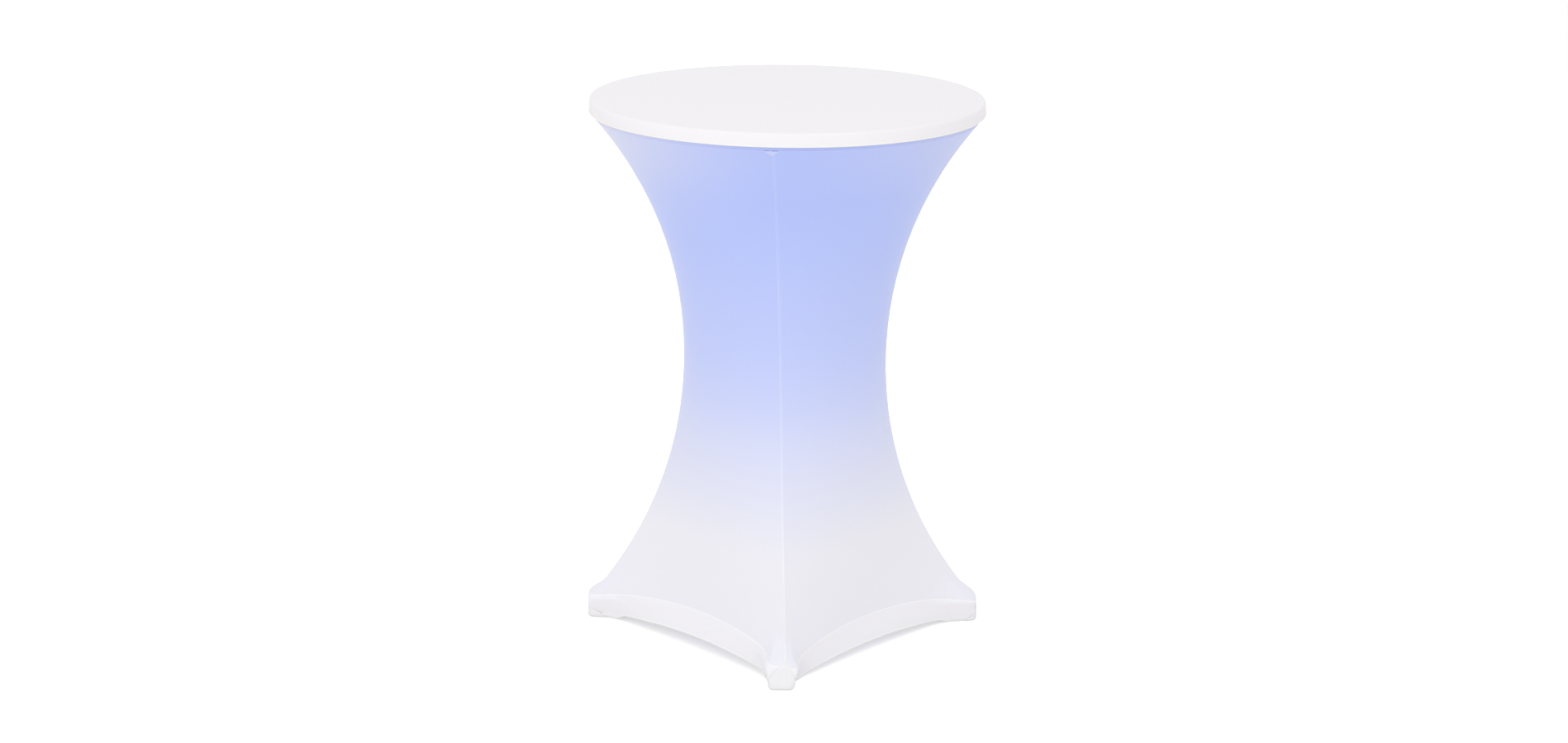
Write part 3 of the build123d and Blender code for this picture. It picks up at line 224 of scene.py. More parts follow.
# Small metal pieces of the lamp: nickel-plated magnets, a ground stainless hinge pin and
# spring brass contacts, each with fine marks from how it was finished.
nickel, nickel_tree, nickel_shader = new_finish(
    "nickel_plate", "#cfcac2", Metallic=1.0, Roughness=0.18)
vary(nickel_tree, nickel_shader, "Roughness", grain(nickel_tree, 0.001), 0.13, 0.25)
dress(nickel, "lamp_magnets_fixed", "lamp_magnets_swing")

stainless, pin_tree, pin_shader = new_finish(
    "ground_stainless_steel", "#bdbcb9", Metallic=1.0, Roughness=0.28)
vary(pin_tree, pin_shader, "Roughness", grain(pin_tree, 0.0006, 3.0, (1, 1, 6)), 0.2, 0.36)
dress(stainless, "hinge_pin")

brass, brass_tree, brass_shader = new_finish(
    "spring_brass", "#d0aa5c", Metallic=1.0, Roughness=0.3)
vary(brass_tree, brass_shader, "Roughness", grain(brass_tree, 0.0008), 0.22, 0.38)
dress(brass, "battery_contacts", "current_pins", "current_pads")


# Grip pads in the ring's bore, which hold it to the column: black rubber, moulded and
# glued in, dull and slightly dusty.
rubber, rubber_tree, rubber_shader = new_finish(
    "moulded_rubber", "#1f1f1f", Roughness=0.8, IOR=1.52)
rubber_dust = grain(rubber_tree, 0.003)
tint(rubber_tree, rubber_shader, rubber_dust, "#191919", "#2b2a29")
press_in(rubber_tree, rubber_shader, rubber_dust, 0.0001)
dress(rubber, "grip_pads_fixed", "grip_pads_swing")


# Three cells in the bay: steel cans in a shrunk plastic film, plain green and glossy, with
# nothing printed on it.
film, film_tree, film_shader = new_finish(
    "shrunk_film_jacket", "#2f5f50", Roughness=0.3, IOR=1.5, Coat_Weight=0.5, Coat_Roughness=0.15)
film_cloud = grain(film_tree, 0.006)
tint(film_tree, film_shader, film_cloud, "#2a5748", "#376a5a")
press_in(film_tree, film_shader, film_cloud, 0.00004)
dress(film, "battery_cells")


# Window of the remote's sensor: a polished dark red polycarbonate disc, pressed into the
# housing, that only infra-red passes.
dark_window, window_tree, window_shader = new_finish(
    "infra_red_window", "#1d0a0c", Roughness=0.12, IOR=1.58)
vary(window_tree, window_shader, "Roughness", grain(window_tree, 0.002), 0.08, 0.18)
dress(dark_window, "sensor_window")


# Stretch cover, shape. Four knit panels hang in tension between the seams down the legs
# and are hooked under the feet. Each level line of a panel is an arc between two seams,
# and over a foot the cloth is pushed out into a boot.
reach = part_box("foot_pocket_right")[1].x
seam_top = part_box("cover_top_panel")[0].z
seam_top_radius = 0.375
seam_waist, seam_waist_height = 0.201, 0.553
seam_foot, seam_foot_height = 0.377, 0.060
seam_corner, hem_corner_height = 0.364, 0.010
middle_waist, middle_waist_height = 0.189, 0.540
middle_foot, hem_middle_height = 0.250, 0.028
hem_half_span, hem_arch_height = 0.2181, 0.024
facing_side_height, facing_middle_height = 0.050, 0.075

# A boot's plan outline is measured from a pole inside the foot. It has a nose in front,
# flared flanks, a rounded sole, and above the foot a tent that runs back to the leg seam.
boot_pole = 0.300
boot_half_width = 0.0265
boot_flare_start, boot_flare_height, boot_flare = 0.012, 0.030, 0.20
boot_nose_start, boot_nose_height, boot_nose_drop = 0.047, 0.018, 0.020
boot_nose_power = 1.6
boot_tent_start, boot_tent_end, boot_top, boot_tent_narrowing = 0.045, 0.085, 0.112, 0.65
boot_sole_round, boot_sole_tuck = 0.009, 0.008
boot_corner_round, boot_sole_corner = 0.014, 0.022
boot_blend = 0.028
toe_seam_height, toe_seam_width, toe_seam_power = 0.057, 0.025, 0.7

# A seam is a groove with its allowance under the cloth on one side and a V fold at the rim.
# The cover's turn is in degrees, and the feet hold the cloth near them in place.
seam_groove_depth, seam_groove_width = 0.0007, 0.0016
allowance_width, allowance_lift = 0.0065, 0.0003
tuck_width, tuck_height, tuck_lift, tuck_crease = 0.016, 0.012, 0.0008, 0.0013
turn_at_feet, turn_at_rim, turn_power = 1.1, -4.3, 1.3
hold_width, hold_start, hold_end = 0.045, 0.030, 0.075


def catenary(height, waist, waist_height, end_radius, end_height):
    """Radius at a height on a tension curve from its waist to one end."""
    rate = np.arccosh(end_radius / waist) / (end_height - waist_height)
    return waist * np.cosh(rate * (height - waist_height))


def seam_radius(height):
    """Radius of the seam down a leg."""
    upper = catenary(height, seam_waist, seam_waist_height, seam_top_radius, seam_top)
    lower = catenary(height, seam_waist, seam_waist_height, seam_foot, seam_foot_height)
    share = (height - hem_corner_height) / (seam_foot_height - hem_corner_height)
    corner = seam_corner + (seam_foot - seam_corner) * np.clip(share, 0, 1)
    below_waist = np.where(height > seam_foot_height, lower, corner)
    return np.where(height > seam_waist_height, upper, below_waist)


def middle_radius(height):
    """Radius down the middle of a panel."""
    upper = catenary(height, middle_waist, middle_waist_height, seam_top_radius, seam_top)
    lower = catenary(height, middle_waist, middle_waist_height, middle_foot, hem_middle_height)
    return np.where(height > middle_waist_height, upper, lower)


def level_arc(height):
    """Half chord, distance of the middle and half angle of a panel's level line."""
    half_chord = seam_radius(height) / sqrt(2)
    middle = middle_radius(height)
    half_angle = 2 * np.arctan((middle - half_chord) / half_chord)
    half_angle = np.where(np.abs(half_angle) < 1e-5, 1e-5, half_angle)
    return half_chord, middle, half_angle


def level_length(height):
    """Length of a level line from seam to seam."""
    half_chord, _, half_angle = level_arc(height)
    return 2 * half_chord * half_angle / np.sin(half_angle)


def soft_max(first, second, width):
    """Larger of two lengths, rounded over where they are nearly equal."""
    near = np.clip(width - np.abs(first - second), 0, None) / width
    return np.maximum(first, second) + near * near * width / 4


def boot_outline(height, along_share, across_share):
    """Distance from the boot's pole to its plan outline in a direction. Above the foot the
    cloth runs back like a tent from the boot's corners to the leg seam."""
    nose = np.clip((height - boot_nose_start) / boot_nose_height, 0, None) ** boot_nose_power
    sole = 1 - np.sqrt(1 - (np.clip(boot_sole_round - height, 0, None) / boot_sole_round) ** 2)
    tip = reach - boot_pole - nose * boot_nose_drop - sole * boot_sole_round
    tent_share = (height - boot_tent_start) / (boot_tent_end - boot_tent_start)
    flare = boot_flare * np.clip(height - boot_flare_start, 0, boot_flare_height)
    half_width = boot_half_width + flare - sole * boot_sole_tuck
    half_width = half_width * (1 - boot_tent_narrowing * np.clip(tent_share, 0, 1))
    front = tip / np.clip(along_share, 0.05, None)
    flank = half_width / np.clip(across_share, 1e-6, None)
    boot = -soft_max(-front, -flank, boot_corner_round + boot_sole_corner * sole)
    corner = reach + boot_half_width - boot_pole
    tent = corner + (seam_radius(boot_tent_end) - boot_pole - corner) * tent_share
    slope = tent / np.clip(along_share + across_share, 0.05, None)
    boot = -soft_max(-boot, -slope, boot_corner_round)
    return np.where(height < boot_top, boot, -1)


def over_boot(along, across, height):
    """Pushes points near a leg out over its boot. Along is outward and across sideways."""
    out = along - boot_pole
    distance = np.hypot(out, across)
    boot = boot_outline(height, out / distance, np.abs(across) / distance)
    pushed = np.where(boot > 0, soft_max(distance, boot, boot_blend), distance)
    return boot_pole + out / distance * pushed, across / distance * pushed


def cover_turn(from_seam, height):
    """Angle by which the cover, pulled on askew, has gone round from the legs. The feet
    hold it where they are."""
    share = np.clip((height - seam_foot_height) / (seam_top - seam_foot_height), 0, 1)
    askew = turn_at_feet + (turn_at_rim - turn_at_feet) * np.sin(pi / 2 * share) ** turn_power
    from_leg = np.minimum(from_seam, level_length(height) - from_seam)
    low = np.clip((hold_end - height) / (hold_end - hold_start), 0, 1)
    return np.radians(askew * (1 - low * np.exp(-(from_leg / hold_width) ** 2)))


def level_place(from_seam, height):
    """Place on a level line: distance sideways from its middle, and outward."""
    half_chord, middle, half_angle = level_arc(height)
    turn = half_angle * (2 * from_seam / level_length(height) - 1)
    sideways = half_chord * np.sin(turn) / np.sin(half_angle)
    return sideways, middle - half_chord * (1 - np.cos(turn)) / np.sin(half_angle)


def cover_point(from_seam, height):
    """Point of a panel a cloth length from its first seam, as (first leg, second leg, Z)."""
    sideways, outward = level_place(from_seam, height)
    flat_first, flat_second = (outward - sideways) / sqrt(2), (outward + sideways) / sqrt(2)
    turn = cover_turn(from_seam, height)
    first = flat_first * np.cos(turn) - flat_second * np.sin(turn)
    second = flat_first * np.sin(turn) + flat_second * np.cos(turn)
    near_first = first > second
    along, across = np.where(near_first, first, second), np.where(near_first, second, first)
    along, across = over_boot(along, across, height)
    first, second = np.where(near_first, along, across), np.where(near_first, across, along)
    return np.stack([first, second, height], -1)


def leg_point(from_leg, height):
    """Point near a leg a signed cloth length from its seam, as (along, across, Z)."""
    ahead = cover_point(np.abs(from_leg), height)
    behind = cover_point(level_length(height) - np.abs(from_leg), height)
    behind = np.stack([behind[..., 1], -behind[..., 0], behind[..., 2]], -1)
    return np.where(from_leg[..., None] < 0, behind, ahead)


def toe_seam(height):
    """Cloth length from the leg line to the seam of the toe cap at a height."""
    share = np.clip(height / toe_seam_height, 0, 1)
    return toe_seam_width * np.clip(1 - share ** 2, 0, None) ** toe_seam_power


def arch(across, side_height, middle_height):
    """Height of a shallow arch from boot to boot at a distance from the panel's middle."""
    share = np.clip(np.abs(across) / hem_half_span, 0, 1)
    return side_height + (middle_height - side_height) * (1 - share ** 2)


def surface_normals(points):
    """Outward unit normals of a grid whose rows go up and columns go anticlockwise."""
    normals = np.cross(np.gradient(points, axis=1), np.gradient(points, axis=0))
    return normals / np.linalg.norm(normals, axis=-1, keepdims=True).clip(1e-12)


def around(points, azimuth):
    """Turns points from the first leg's frame to a leg's azimuth."""
    turn = radians(azimuth)
    x = points[..., 0] * cos(turn) - points[..., 1] * sin(turn)
    y = points[..., 0] * sin(turn) + points[..., 1] * cos(turn)
    return np.stack([x, y, points[..., 2]], -1)


def grid_piece(name, points, material, layouts=None, closed=False):
    """Mesh of a grid of points, smooth shaded, with lengths along the cloth as UV layers."""
    rows, columns = points.shape[:2]
    wrap = columns if closed else columns - 1
    faces = [(row * columns + column, row * columns + (column + 1) % columns,
              (row + 1) * columns + (column + 1) % columns, (row + 1) * columns + column)
             for row in range(rows - 1) for column in range(wrap)]
    mesh = bpy.data.meshes.new(name)
    mesh.from_pydata(points.reshape(-1, 3).tolist(), [], faces)
    mesh.shade_smooth()
    corners = np.zeros(len(mesh.loops), np.int32)
    mesh.loops.foreach_get("vertex_index", corners)
    for layer, layout in (layouts or {}).items():
        flat_layout = layout.reshape(-1, 2)[corners]
        mesh.uv_layers.new(name=layer).data.foreach_set("uv", flat_layout.ravel())
    mesh.materials.append(material)
    piece = bpy.data.objects.new(name, mesh)
    bpy.context.scene.collection.objects.link(piece)
    return piece


# Stretch cover, cloth. Warp-knit polyester and spandex, white, about 0.8 mm thick under
# tension. The ring lamp's blue light through it is painted, as a blue base colour and a blue
# emission where the light reaches. It pales where it is seen at a low angle, and is plain
# white at the feet.
knit_thickness = 0.0008
rib_spacing = 0.0050
# Blur of a mask's edge, and widths of the painted highlights on the hem's fold and along the seams.
edge_blur, hem_highlight_width, seam_highlight_width = 0.0005, 0.0030, 0.0008
# Share of the painted lamp glow at a height, and how the painted glow fades at the sides.
glow_stops = (
    (0.205, 0.0), (0.235, 0.04), (0.278, 0.13), (0.338, 0.25), (0.416, 0.415), (0.496, 0.625),
    (0.576, 0.755), (0.660, 0.83), (0.746, 0.88), (0.832, 0.94), (0.920, 1.0), (1.008, 0.95),
)
table_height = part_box("top_cap")[1].z
rim_fade_bottom, rim_fade_top, rim_fade = 0.78, 1.03, 0.48
rim_fade_left, rim_fade_right, rim_fade_power = 0.30, 0.48, 1.5
allowance_shade, seam_shade, rim_shade, tuck_shade = 0.04, 0.20, 0.22, 0.26
lamp_blue, painted_glow_strength = (0.1, 0.2, 1.0, 1.0), 0.20


def knit_relief(tree, shader, place):
    """Ribs of the knit with a faint slub. The real ribs are 1.1 mm apart, too fine to show,
    so they are drawn 5 mm apart. A diagonal wave is 2 pi / (10 sqrt(3)) long at scale 1."""
    wave_length = 2 * pi / (10 * sqrt(3))
    ribs = add_node(tree, "ShaderNodeTexWave", {
        "Vector": place, "Scale": wave_length / rib_spacing, "Distortion": 1.5, "Detail": 1.0,
    }, bands_direction="DIAGONAL")
    slub = grain(tree, 0.012, 2.0)
    height = add_node(tree, "ShaderNodeMath", {0: ribs.outputs["Fac"], 1: 0.6, 2: slub},
                      operation="MULTIPLY_ADD")
    press_in(tree, shader, height.outputs[0], 0.00006)


def between(tree, value, low, high):
    """Mask that is 1 at the first bound and 0 at the second."""
    return add_node(tree, "ShaderNodeMapRange", {
        "Value": value, "From Min": high, "From Max": low}).outputs["Result"]


def dimmed(tree, light, mask, share):
    """Lets a share less of the lamp's light through where the mask is 1."""
    kept = add_node(tree, "ShaderNodeMath", {
        0: mask, 1: -share, 2: 1.0}, operation="MULTIPLY_ADD")
    return add_node(tree, "ShaderNodeMath", {0: light, 1: kept.outputs[0]},
                    operation="MULTIPLY").outputs[0]


def lit_knit(name, plain, lit, band):
    """Knit that the lamp shines through, its glow painted as a blue base colour and emission.
    It passes less of the painted light where it lies double: in the seam allowance, the tucks
    and the rim seam. The painted light fades to the left and right under the rim, as in the
    photograph. The hem's band is whiter, and its fold and stitches and the seams are painted
    white as highlights."""
    material, tree, shader = new_finish(
        name, plain, Roughness=0.75, IOR=1.45, Sheen_Weight=0.5, Sheen_Roughness=0.4,
        Sheen_Tint=from_hex("#ffffff"), Emission_Color=lamp_blue, Specular_IOR_Level=0.25)
    place = add_node(tree, "ShaderNodeTexCoord").outputs["Object"]
    axes = add_node(tree, "ShaderNodeSeparateXYZ", {"Vector": place})
    height = axes.outputs["Z"]
    share = add_node(tree, "ShaderNodeMath", {
        0: height, 1: 1 / table_height}, operation="MULTIPLY")
    glow = add_node(tree, "ShaderNodeValToRGB", {"Fac": share.outputs[0]})
    ramp = glow.color_ramp.elements
    ramp[0].position = glow_stops[0][0] / table_height
    ramp[1].position = glow_stops[-1][0] / table_height
    ramp[0].color = (glow_stops[0][1],) * 3 + (1,)
    ramp[1].color = (glow_stops[-1][1],) * 3 + (1,)
    for stop_height, strength in glow_stops[1:-1]:
        ramp.new(stop_height / table_height).color = (strength,) * 3 + (1,)
    layout = add_node(tree, "ShaderNodeUVMap", uv_map="cloth").outputs["UV"]
    over = add_node(tree, "ShaderNodeSeparateXYZ", {"Vector": layout})
    edges = add_node(tree, "ShaderNodeUVMap", uv_map="edges").outputs["UV"]
    off = add_node(tree, "ShaderNodeSeparateXYZ", {"Vector": edges})
    in_band = between(tree, over.outputs["Y"], -edge_blur, edge_blur)
    fold_highlight = between(tree, off.outputs["Y"], hem_highlight_width, hem_highlight_width + 2 * edge_blur)
    in_allowance = between(tree, over.outputs["X"], allowance_width - edge_blur,
                           allowance_width + edge_blur)
    off_stitches = add_node(tree, "ShaderNodeMath", {
        0: over.outputs["Y"]}, operation="ABSOLUTE")
    stitch_highlight = between(tree, off_stitches.outputs[0], edge_blur, 3 * edge_blur)
    on_seam = between(tree, off.outputs["X"], seam_highlight_width, seam_highlight_width + 2 * edge_blur)
    rim_distance = add_node(tree, "ShaderNodeMath", {
        0: height, 1: seam_top}, operation="SUBTRACT")
    near_rim = add_node(tree, "ShaderNodeMath", {
        0: rim_distance.outputs[0]}, operation="ABSOLUTE")
    in_rim = between(tree, near_rim.outputs[0], edge_blur, 2 * edge_blur)
    crease = add_node(tree, "ShaderNodeMath", {
        0: rim_distance.outputs[0], 1: tuck_width / tuck_height, 2: tuck_width,
    }, operation="MULTIPLY_ADD")
    off_crease = add_node(tree, "ShaderNodeMath", {
        0: off.outputs["X"], 1: crease.outputs[0]}, operation="SUBTRACT")
    in_tuck = between(tree, off_crease.outputs[0], -edge_blur, edge_blur)
    # Painted paling: under the rim the painted glow is faded by place towards -X and, less, towards
    # +X, so these sides are painted paler.
    to_left = add_node(tree, "ShaderNodeMath", {
        0: axes.outputs["X"], 1: -1 / rim_fade_left}, operation="MULTIPLY")
    to_right = add_node(tree, "ShaderNodeMath", {
        0: axes.outputs["X"], 1: 1 / rim_fade_right}, operation="MULTIPLY")
    to_side = add_node(tree, "ShaderNodeMath", {
        0: to_left.outputs[0], 1: to_right.outputs[0]}, operation="MAXIMUM")
    far_side = add_node(tree, "ShaderNodeMath", {
        0: to_side.outputs[0], 1: rim_fade_power}, operation="POWER")
    upper = add_node(tree, "ShaderNodeMapRange", {
        "Value": height, "From Min": rim_fade_bottom, "From Max": rim_fade_top,
    }, interpolation_type="SMOOTHSTEP")
    painted_side_paling = add_node(tree, "ShaderNodeMath", {
        0: far_side.outputs[0], 1: upper.outputs["Result"]}, operation="MULTIPLY")
    through = dimmed(tree, glow.outputs["Color"], painted_side_paling.outputs[0], rim_fade)
    # Painted glow: the cloth's blue emission follows the painted share of lamp light.
    painted_emission = add_node(tree, "ShaderNodeMath", {0: through, 1: painted_glow_strength}, operation="MULTIPLY")
    through = dimmed(tree, through, in_allowance, allowance_shade)
    through = dimmed(tree, through, on_seam, seam_shade)
    through = dimmed(tree, through, in_rim, rim_shade)
    through = dimmed(tree, through, in_tuck, tuck_shade)
    cloth = add_node(tree, "ShaderNodeMix", {
        0: in_band, 6: from_hex(plain), 7: from_hex(band)}, data_type="RGBA")
    # Painted highlights: the hem's fold, the facing's stitch line and the seams are painted white.
    on_line = add_node(tree, "ShaderNodeMath", {
        0: stitch_highlight, 1: on_seam}, operation="MAXIMUM")
    painted_highlights = add_node(tree, "ShaderNodeMath", {
        0: on_line.outputs[0], 1: fold_highlight}, operation="MAXIMUM")
    highlighted = add_node(tree, "ShaderNodeMix", {
        0: painted_highlights.outputs[0], 6: cloth.outputs[2], 7: from_hex("#ffffff")}, data_type="RGBA")
    # Painted glow: the base colour is mixed towards the lit blue by the same painted share.
    mixed = add_node(tree, "ShaderNodeMix", {
        0: through, 6: highlighted.outputs[2], 7: from_hex(lit)}, data_type="RGBA")
    tree.links.new(mixed.outputs[2], shader.inputs["Base Color"])
    tree.links.new(painted_emission.outputs[0], shader.inputs["Emission Strength"])
    knit_relief(tree, shader, place)
    return material


cover_knit = lit_knit("warp_knit_polyester_spandex", "#f6f5fc", "#b8c5ed", "#fbfaff")


# Skirt panels: each is one piece of knit with its hem turned up inside and stitched, and
# its side edges sewn to its neighbours in French seams whose allowance lies to one side.
layer_gap = 0.0010
hem_fold_radius = 0.0010
hem_drop_start, hem_drop_end, hem_floor = 0.032, 0.064, 0.0004
lift_edge = 0.0004
hem_settling_rounds = 6


def spaced(steps):
    """Running sum of (count, first, last) stretches of evenly changing steps, from 0."""
    sizes = np.concatenate([np.linspace(first, last, count) for count, first, last in steps])
    return np.concatenate([[0], np.cumsum(sizes)])


half_columns = spaced([(10, 0.0009, 0.0011), (22, 0.0016, 0.0018), (20, 0.003, 0.014)])
half_columns = half_columns / half_columns[-1] / 2
column_shares = np.concatenate([half_columns, 1 - half_columns[-2::-1]])
row_rises = spaced([(28, 0.0018, 0.0026), (40, 0.004, 0.036), (14, 0.012, 0.0014)])
row_shares = row_rises / row_rises[-1]
fold_angles = np.radians([30, 60, 90, 120, 150])
facing_rows = 9


def hem_height(across, from_seam, lowering):
    """Height of the hem: an arch that drops down the side of each boot to the sole."""
    raised = arch(across, hem_corner_height, hem_arch_height) - lowering
    share = np.clip((from_seam - hem_drop_start) / (hem_drop_end - hem_drop_start), 0, 1)
    ease = share * share * (3 - 2 * share)
    return hem_floor + (raised - hem_floor) * ease


def panel_grid(heights):
    """Points and cloth lengths of a panel on the shared columns at a grid of heights."""
    start = toe_seam(heights)
    length = level_length(heights)
    from_seam = start + (length - 2 * start) * column_shares
    nearest = np.minimum(from_seam - start, length - start - from_seam)
    return cover_point(from_seam, heights), from_seam, nearest


def hem_row(lowering):
    """Heights of the hem and of the facing's upper edge on the shared columns. The columns
    move with the hem's height, so it is worked out anew until it settles."""
    heights = np.full(len(column_shares), hem_corner_height)
    for _ in range(hem_settling_rounds):
        _, from_seam, _ = panel_grid(heights)
        across, _ = level_place(from_seam, heights)
        leg_length = np.minimum(from_seam, level_length(heights) - from_seam)
        heights = hem_height(across, leg_length, lowering)
    return heights, arch(across, facing_side_height, facing_middle_height) - lowering


def sewn(points, normals, nearest, from_seam):
    """Sinks the cloth into its side seams, lifts it over the seam allowance, and folds it
    in a small V where the seams meet the rim."""
    groove = -seam_groove_depth * np.exp(-(nearest / seam_groove_width) ** 2)
    lift = allowance_lift / (1 + np.exp((from_seam - allowance_width) / lift_edge))
    below_rim = seam_top - points[..., 2]
    crease = tuck_width * (1 - below_rim / tuck_height)
    inside = 1 / (1 + np.exp((nearest - crease) / (tuck_crease / 3)))
    fold = np.where(crease > 0, tuck_lift * inside
                    - tuck_lift * np.exp(-((nearest - crease) / tuck_crease) ** 2), 0)
    return points + normals * (groove + lift + fold)[..., None]


def skirt_panel(lowering):
    """Points and cloth layouts of one panel whose hem hangs that much lower."""
    hem_heights, facing_heights = hem_row(lowering)
    rise = seam_top - hem_heights
    outer_heights = hem_heights + hem_fold_radius + (rise - hem_fold_radius) * row_shares[:, None]
    outer, outer_from, outer_nearest = panel_grid(outer_heights)
    outer_normals = surface_normals(outer)
    outer = sewn(outer, outer_normals, outer_nearest, outer_from)
    fold_depth = knit_thickness + layer_gap / 2

    fold_in = -fold_depth * (1 - np.cos(fold_angles))
    fold_shift = outer_normals[0][None] * fold_in[:, None, None]
    fold_drop = np.zeros_like(fold_shift)
    fold_drop[..., 2] = -hem_fold_radius * np.sin(fold_angles)[:, None]
    fold = (outer[0][None] + fold_shift + fold_drop)[::-1]

    facing_share = np.linspace(1, 0, facing_rows)[:, None]
    inner_heights = outer_heights[0] + (facing_heights - outer_heights[0]) * facing_share
    inner, _, _ = panel_grid(inner_heights)
    inner_normals = -surface_normals(inner[::-1])[::-1]
    inner = inner + inner_normals * 2 * fold_depth

    points = np.concatenate([inner, fold, outer])
    hidden_rows = len(inner) + len(fold)
    fold_heights = np.repeat(outer_heights[:1], len(fold), axis=0)
    all_heights = np.concatenate([inner_heights, fold_heights, outer_heights])
    all_from = np.concatenate([np.repeat(outer_from[:1], hidden_rows, axis=0), outer_from])
    all_nearest = np.concatenate([np.repeat(outer_nearest[:1], hidden_rows, axis=0), outer_nearest])
    above_hem = all_heights - outer_heights[0]
    above_hem[:len(inner)] = 1.0
    layouts = {
        "cloth": np.stack([all_from, all_heights - facing_heights], -1),
        "edges": np.stack([all_nearest, above_hem], -1),
    }
    return points, layouts


def thicken(piece, thickness):
    """Gives cloth its thickness, inward from the surface that shows."""
    solid = piece.modifiers.new("cloth", "SOLIDIFY")
    solid.thickness = thickness
    solid.offset = -1


panel_starts = {"back_right": 0, "back_left": 90, "front_left": 180, "front_right": 270}
hem_lowerings = {"front_right": 0.005}
for panel, azimuth in panel_starts.items():
    panel_points, panel_layouts = skirt_panel(hem_lowerings.get(panel, 0))
    turned = around(panel_points, azimuth)
    skirt = grid_piece("skirt_cloth_" + panel, turned, cover_knit, panel_layouts)
    thicken(skirt, knit_thickness)
    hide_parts("skirt_panel_" + panel, "hem_facing_" + panel)
    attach(skirt, "root")


# Foot pockets: a toe cap over the nose of each boot, with a seam down its middle, sewn to
# the panels round its edge and closed by a sole under the foot. Doubled white knit.
sole_back, sole_narrowing = 0.335, 0.6
middle_seam_share = 0.6
toe_columns = np.array([-1, -0.96, -0.9, -0.8, -0.65, -0.45, -0.25, -0.1, -0.04, 0,
                        0.04, 0.1, 0.25, 0.45, 0.65, 0.8, 0.9, 0.96, 1])
toe_heights = np.array([0, 0.0008, 0.002, 0.0035, 0.006, 0.010, 0.016, 0.022, 0.028, 0.033,
                        0.038, 0.042, 0.045, 0.048, 0.0505, 0.0525, 0.054, 0.0552, 0.0562,
                        0.0568])
sole_rows = 7

pocket_knit, pocket_tree, pocket_shader = new_finish(
    "doubled_warp_knit", "#fafafd", Roughness=0.75, IOR=1.45, Sheen_Weight=0.25,
    Sheen_Roughness=0.5, Specular_IOR_Level=0.25)
pocket_place = add_node(pocket_tree, "ShaderNodeTexCoord").outputs["Object"]
knit_relief(pocket_tree, pocket_shader, pocket_place)

toe_from = toe_columns * toe_seam(toe_heights)[:, None]
toe = leg_point(toe_from, np.repeat(toe_heights[:, None], len(toe_columns), axis=1))
toe_normals = surface_normals(toe)
edge_distance = (1 - np.abs(toe_columns)) * toe_seam(toe_heights)[:, None]
toe_sink = seam_groove_depth * np.exp(-(edge_distance / seam_groove_width) ** 2)
middle_groove = np.exp(-(toe_from / (middle_seam_share * seam_groove_width)) ** 2)
toe_sink += middle_seam_share * seam_groove_depth * middle_groove
toe = toe - toe_normals * toe_sink[..., None]
toe[..., 2] = toe[..., 2].clip(0, None)
sole = np.repeat(toe[:1], sole_rows, axis=0)
back_share = np.linspace(1, 0, sole_rows, endpoint=False)[:, None]
sole[..., 0] += (sole_back - sole[..., 0]) * back_share
sole[..., 1] += (boot_half_width * toe_columns - sole[..., 1]) * back_share * sole_narrowing
toe = np.concatenate([sole, toe])

for leg, azimuth in legs.items():
    cap_piece = grid_piece("toe_cap_" + leg, around(toe, azimuth), pocket_knit)
    thicken(cap_piece, knit_thickness)
    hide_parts("foot_pocket_" + leg)
    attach(cap_piece, "root")


# Top of the cover: a round panel over the board, drawn round the bumper in a narrow strip
# to the seam of the four panels. Where it meets a leg seam the cloth is tucked in a V.
around_count = 384
azimuths = np.linspace(0, 2 * pi, around_count, endpoint=False)
cover_top_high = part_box("cover_top_panel")[1].z
cover_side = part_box("cover_top_panel")[1].x
board_underside = board_low.z


def lathe(profile):
    """Grid of points from a profile of (radius, height), turned round the column axis."""
    profile = np.array(profile)
    ring = np.stack([np.cos(azimuths), np.sin(azimuths)], -1)
    flat = profile[:, None, :1] * ring[None]
    heights = np.repeat(profile[:, 1:], around_count, axis=1)
    return np.concatenate([flat, heights[..., None]], -1)


def quarter_round(centre, radius, start, end, count=7):
    """Points of a profile round a corner, between two angles from level."""
    angles = [radians(angle) for angle in np.linspace(start, end, count)]
    return [(centre[0] + radius * cos(angle), centre[1] + radius * sin(angle)) for angle in angles]


taut_thickness = 0.6 * knit_thickness
top_round, low_round = 0.0036, 0.0033
strip_start = ((-0.0006, 0), (0.0004, 0.0012), (0.0030, 0.0042))
low_centre = (cover_side - low_round, board_underside + low_round)
top_centre = (cover_side - top_round, cover_top_high - top_round)
strip_profile = [(seam_top_radius + out, seam_top + above) for out, above in strip_start]
strip_profile += quarter_round(low_centre, low_round, -38, 0)
strip_profile += quarter_round(top_centre, top_round, 0, 90)
strip_profile += [(radius, cover_top_high) for radius in (0.34, 0.26, 0.18, 0.10, 0.04, 0.0)]
strip = lathe(strip_profile)
away_from_edges = np.ones((*strip.shape[:2], 2))
# The strip's knit is a darker copy of the cover knit: painted shade under the cap's edge.
shaded_rim_knit = lit_knit("warp_knit_over_the_bumper", "#f5f4fb", "#afbbe6", "#f5f4fb")
cover_top = grid_piece("cover_top_cloth", strip, shaded_rim_knit,
                       {"cloth": away_from_edges, "edges": away_from_edges}, closed=True)
thicken(cover_top, taut_thickness)
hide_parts("cover_top_panel")
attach(cover_top, "root")


# Separate cap over the top: white knit with a flat elastic sewn in its edge, which shows as
# a narrow cream roll round the rim.
cap_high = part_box("top_cap")[1].z
cap_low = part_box("top_cap")[0].z
cap_side, cap_edge_radius = 0.3828, 0.3834
cap_round, cap_edge_height, cap_wall_height = 0.0046, 0.004, 0.014
elastic_roll, elastic_inset = 0.0012, 0.0004

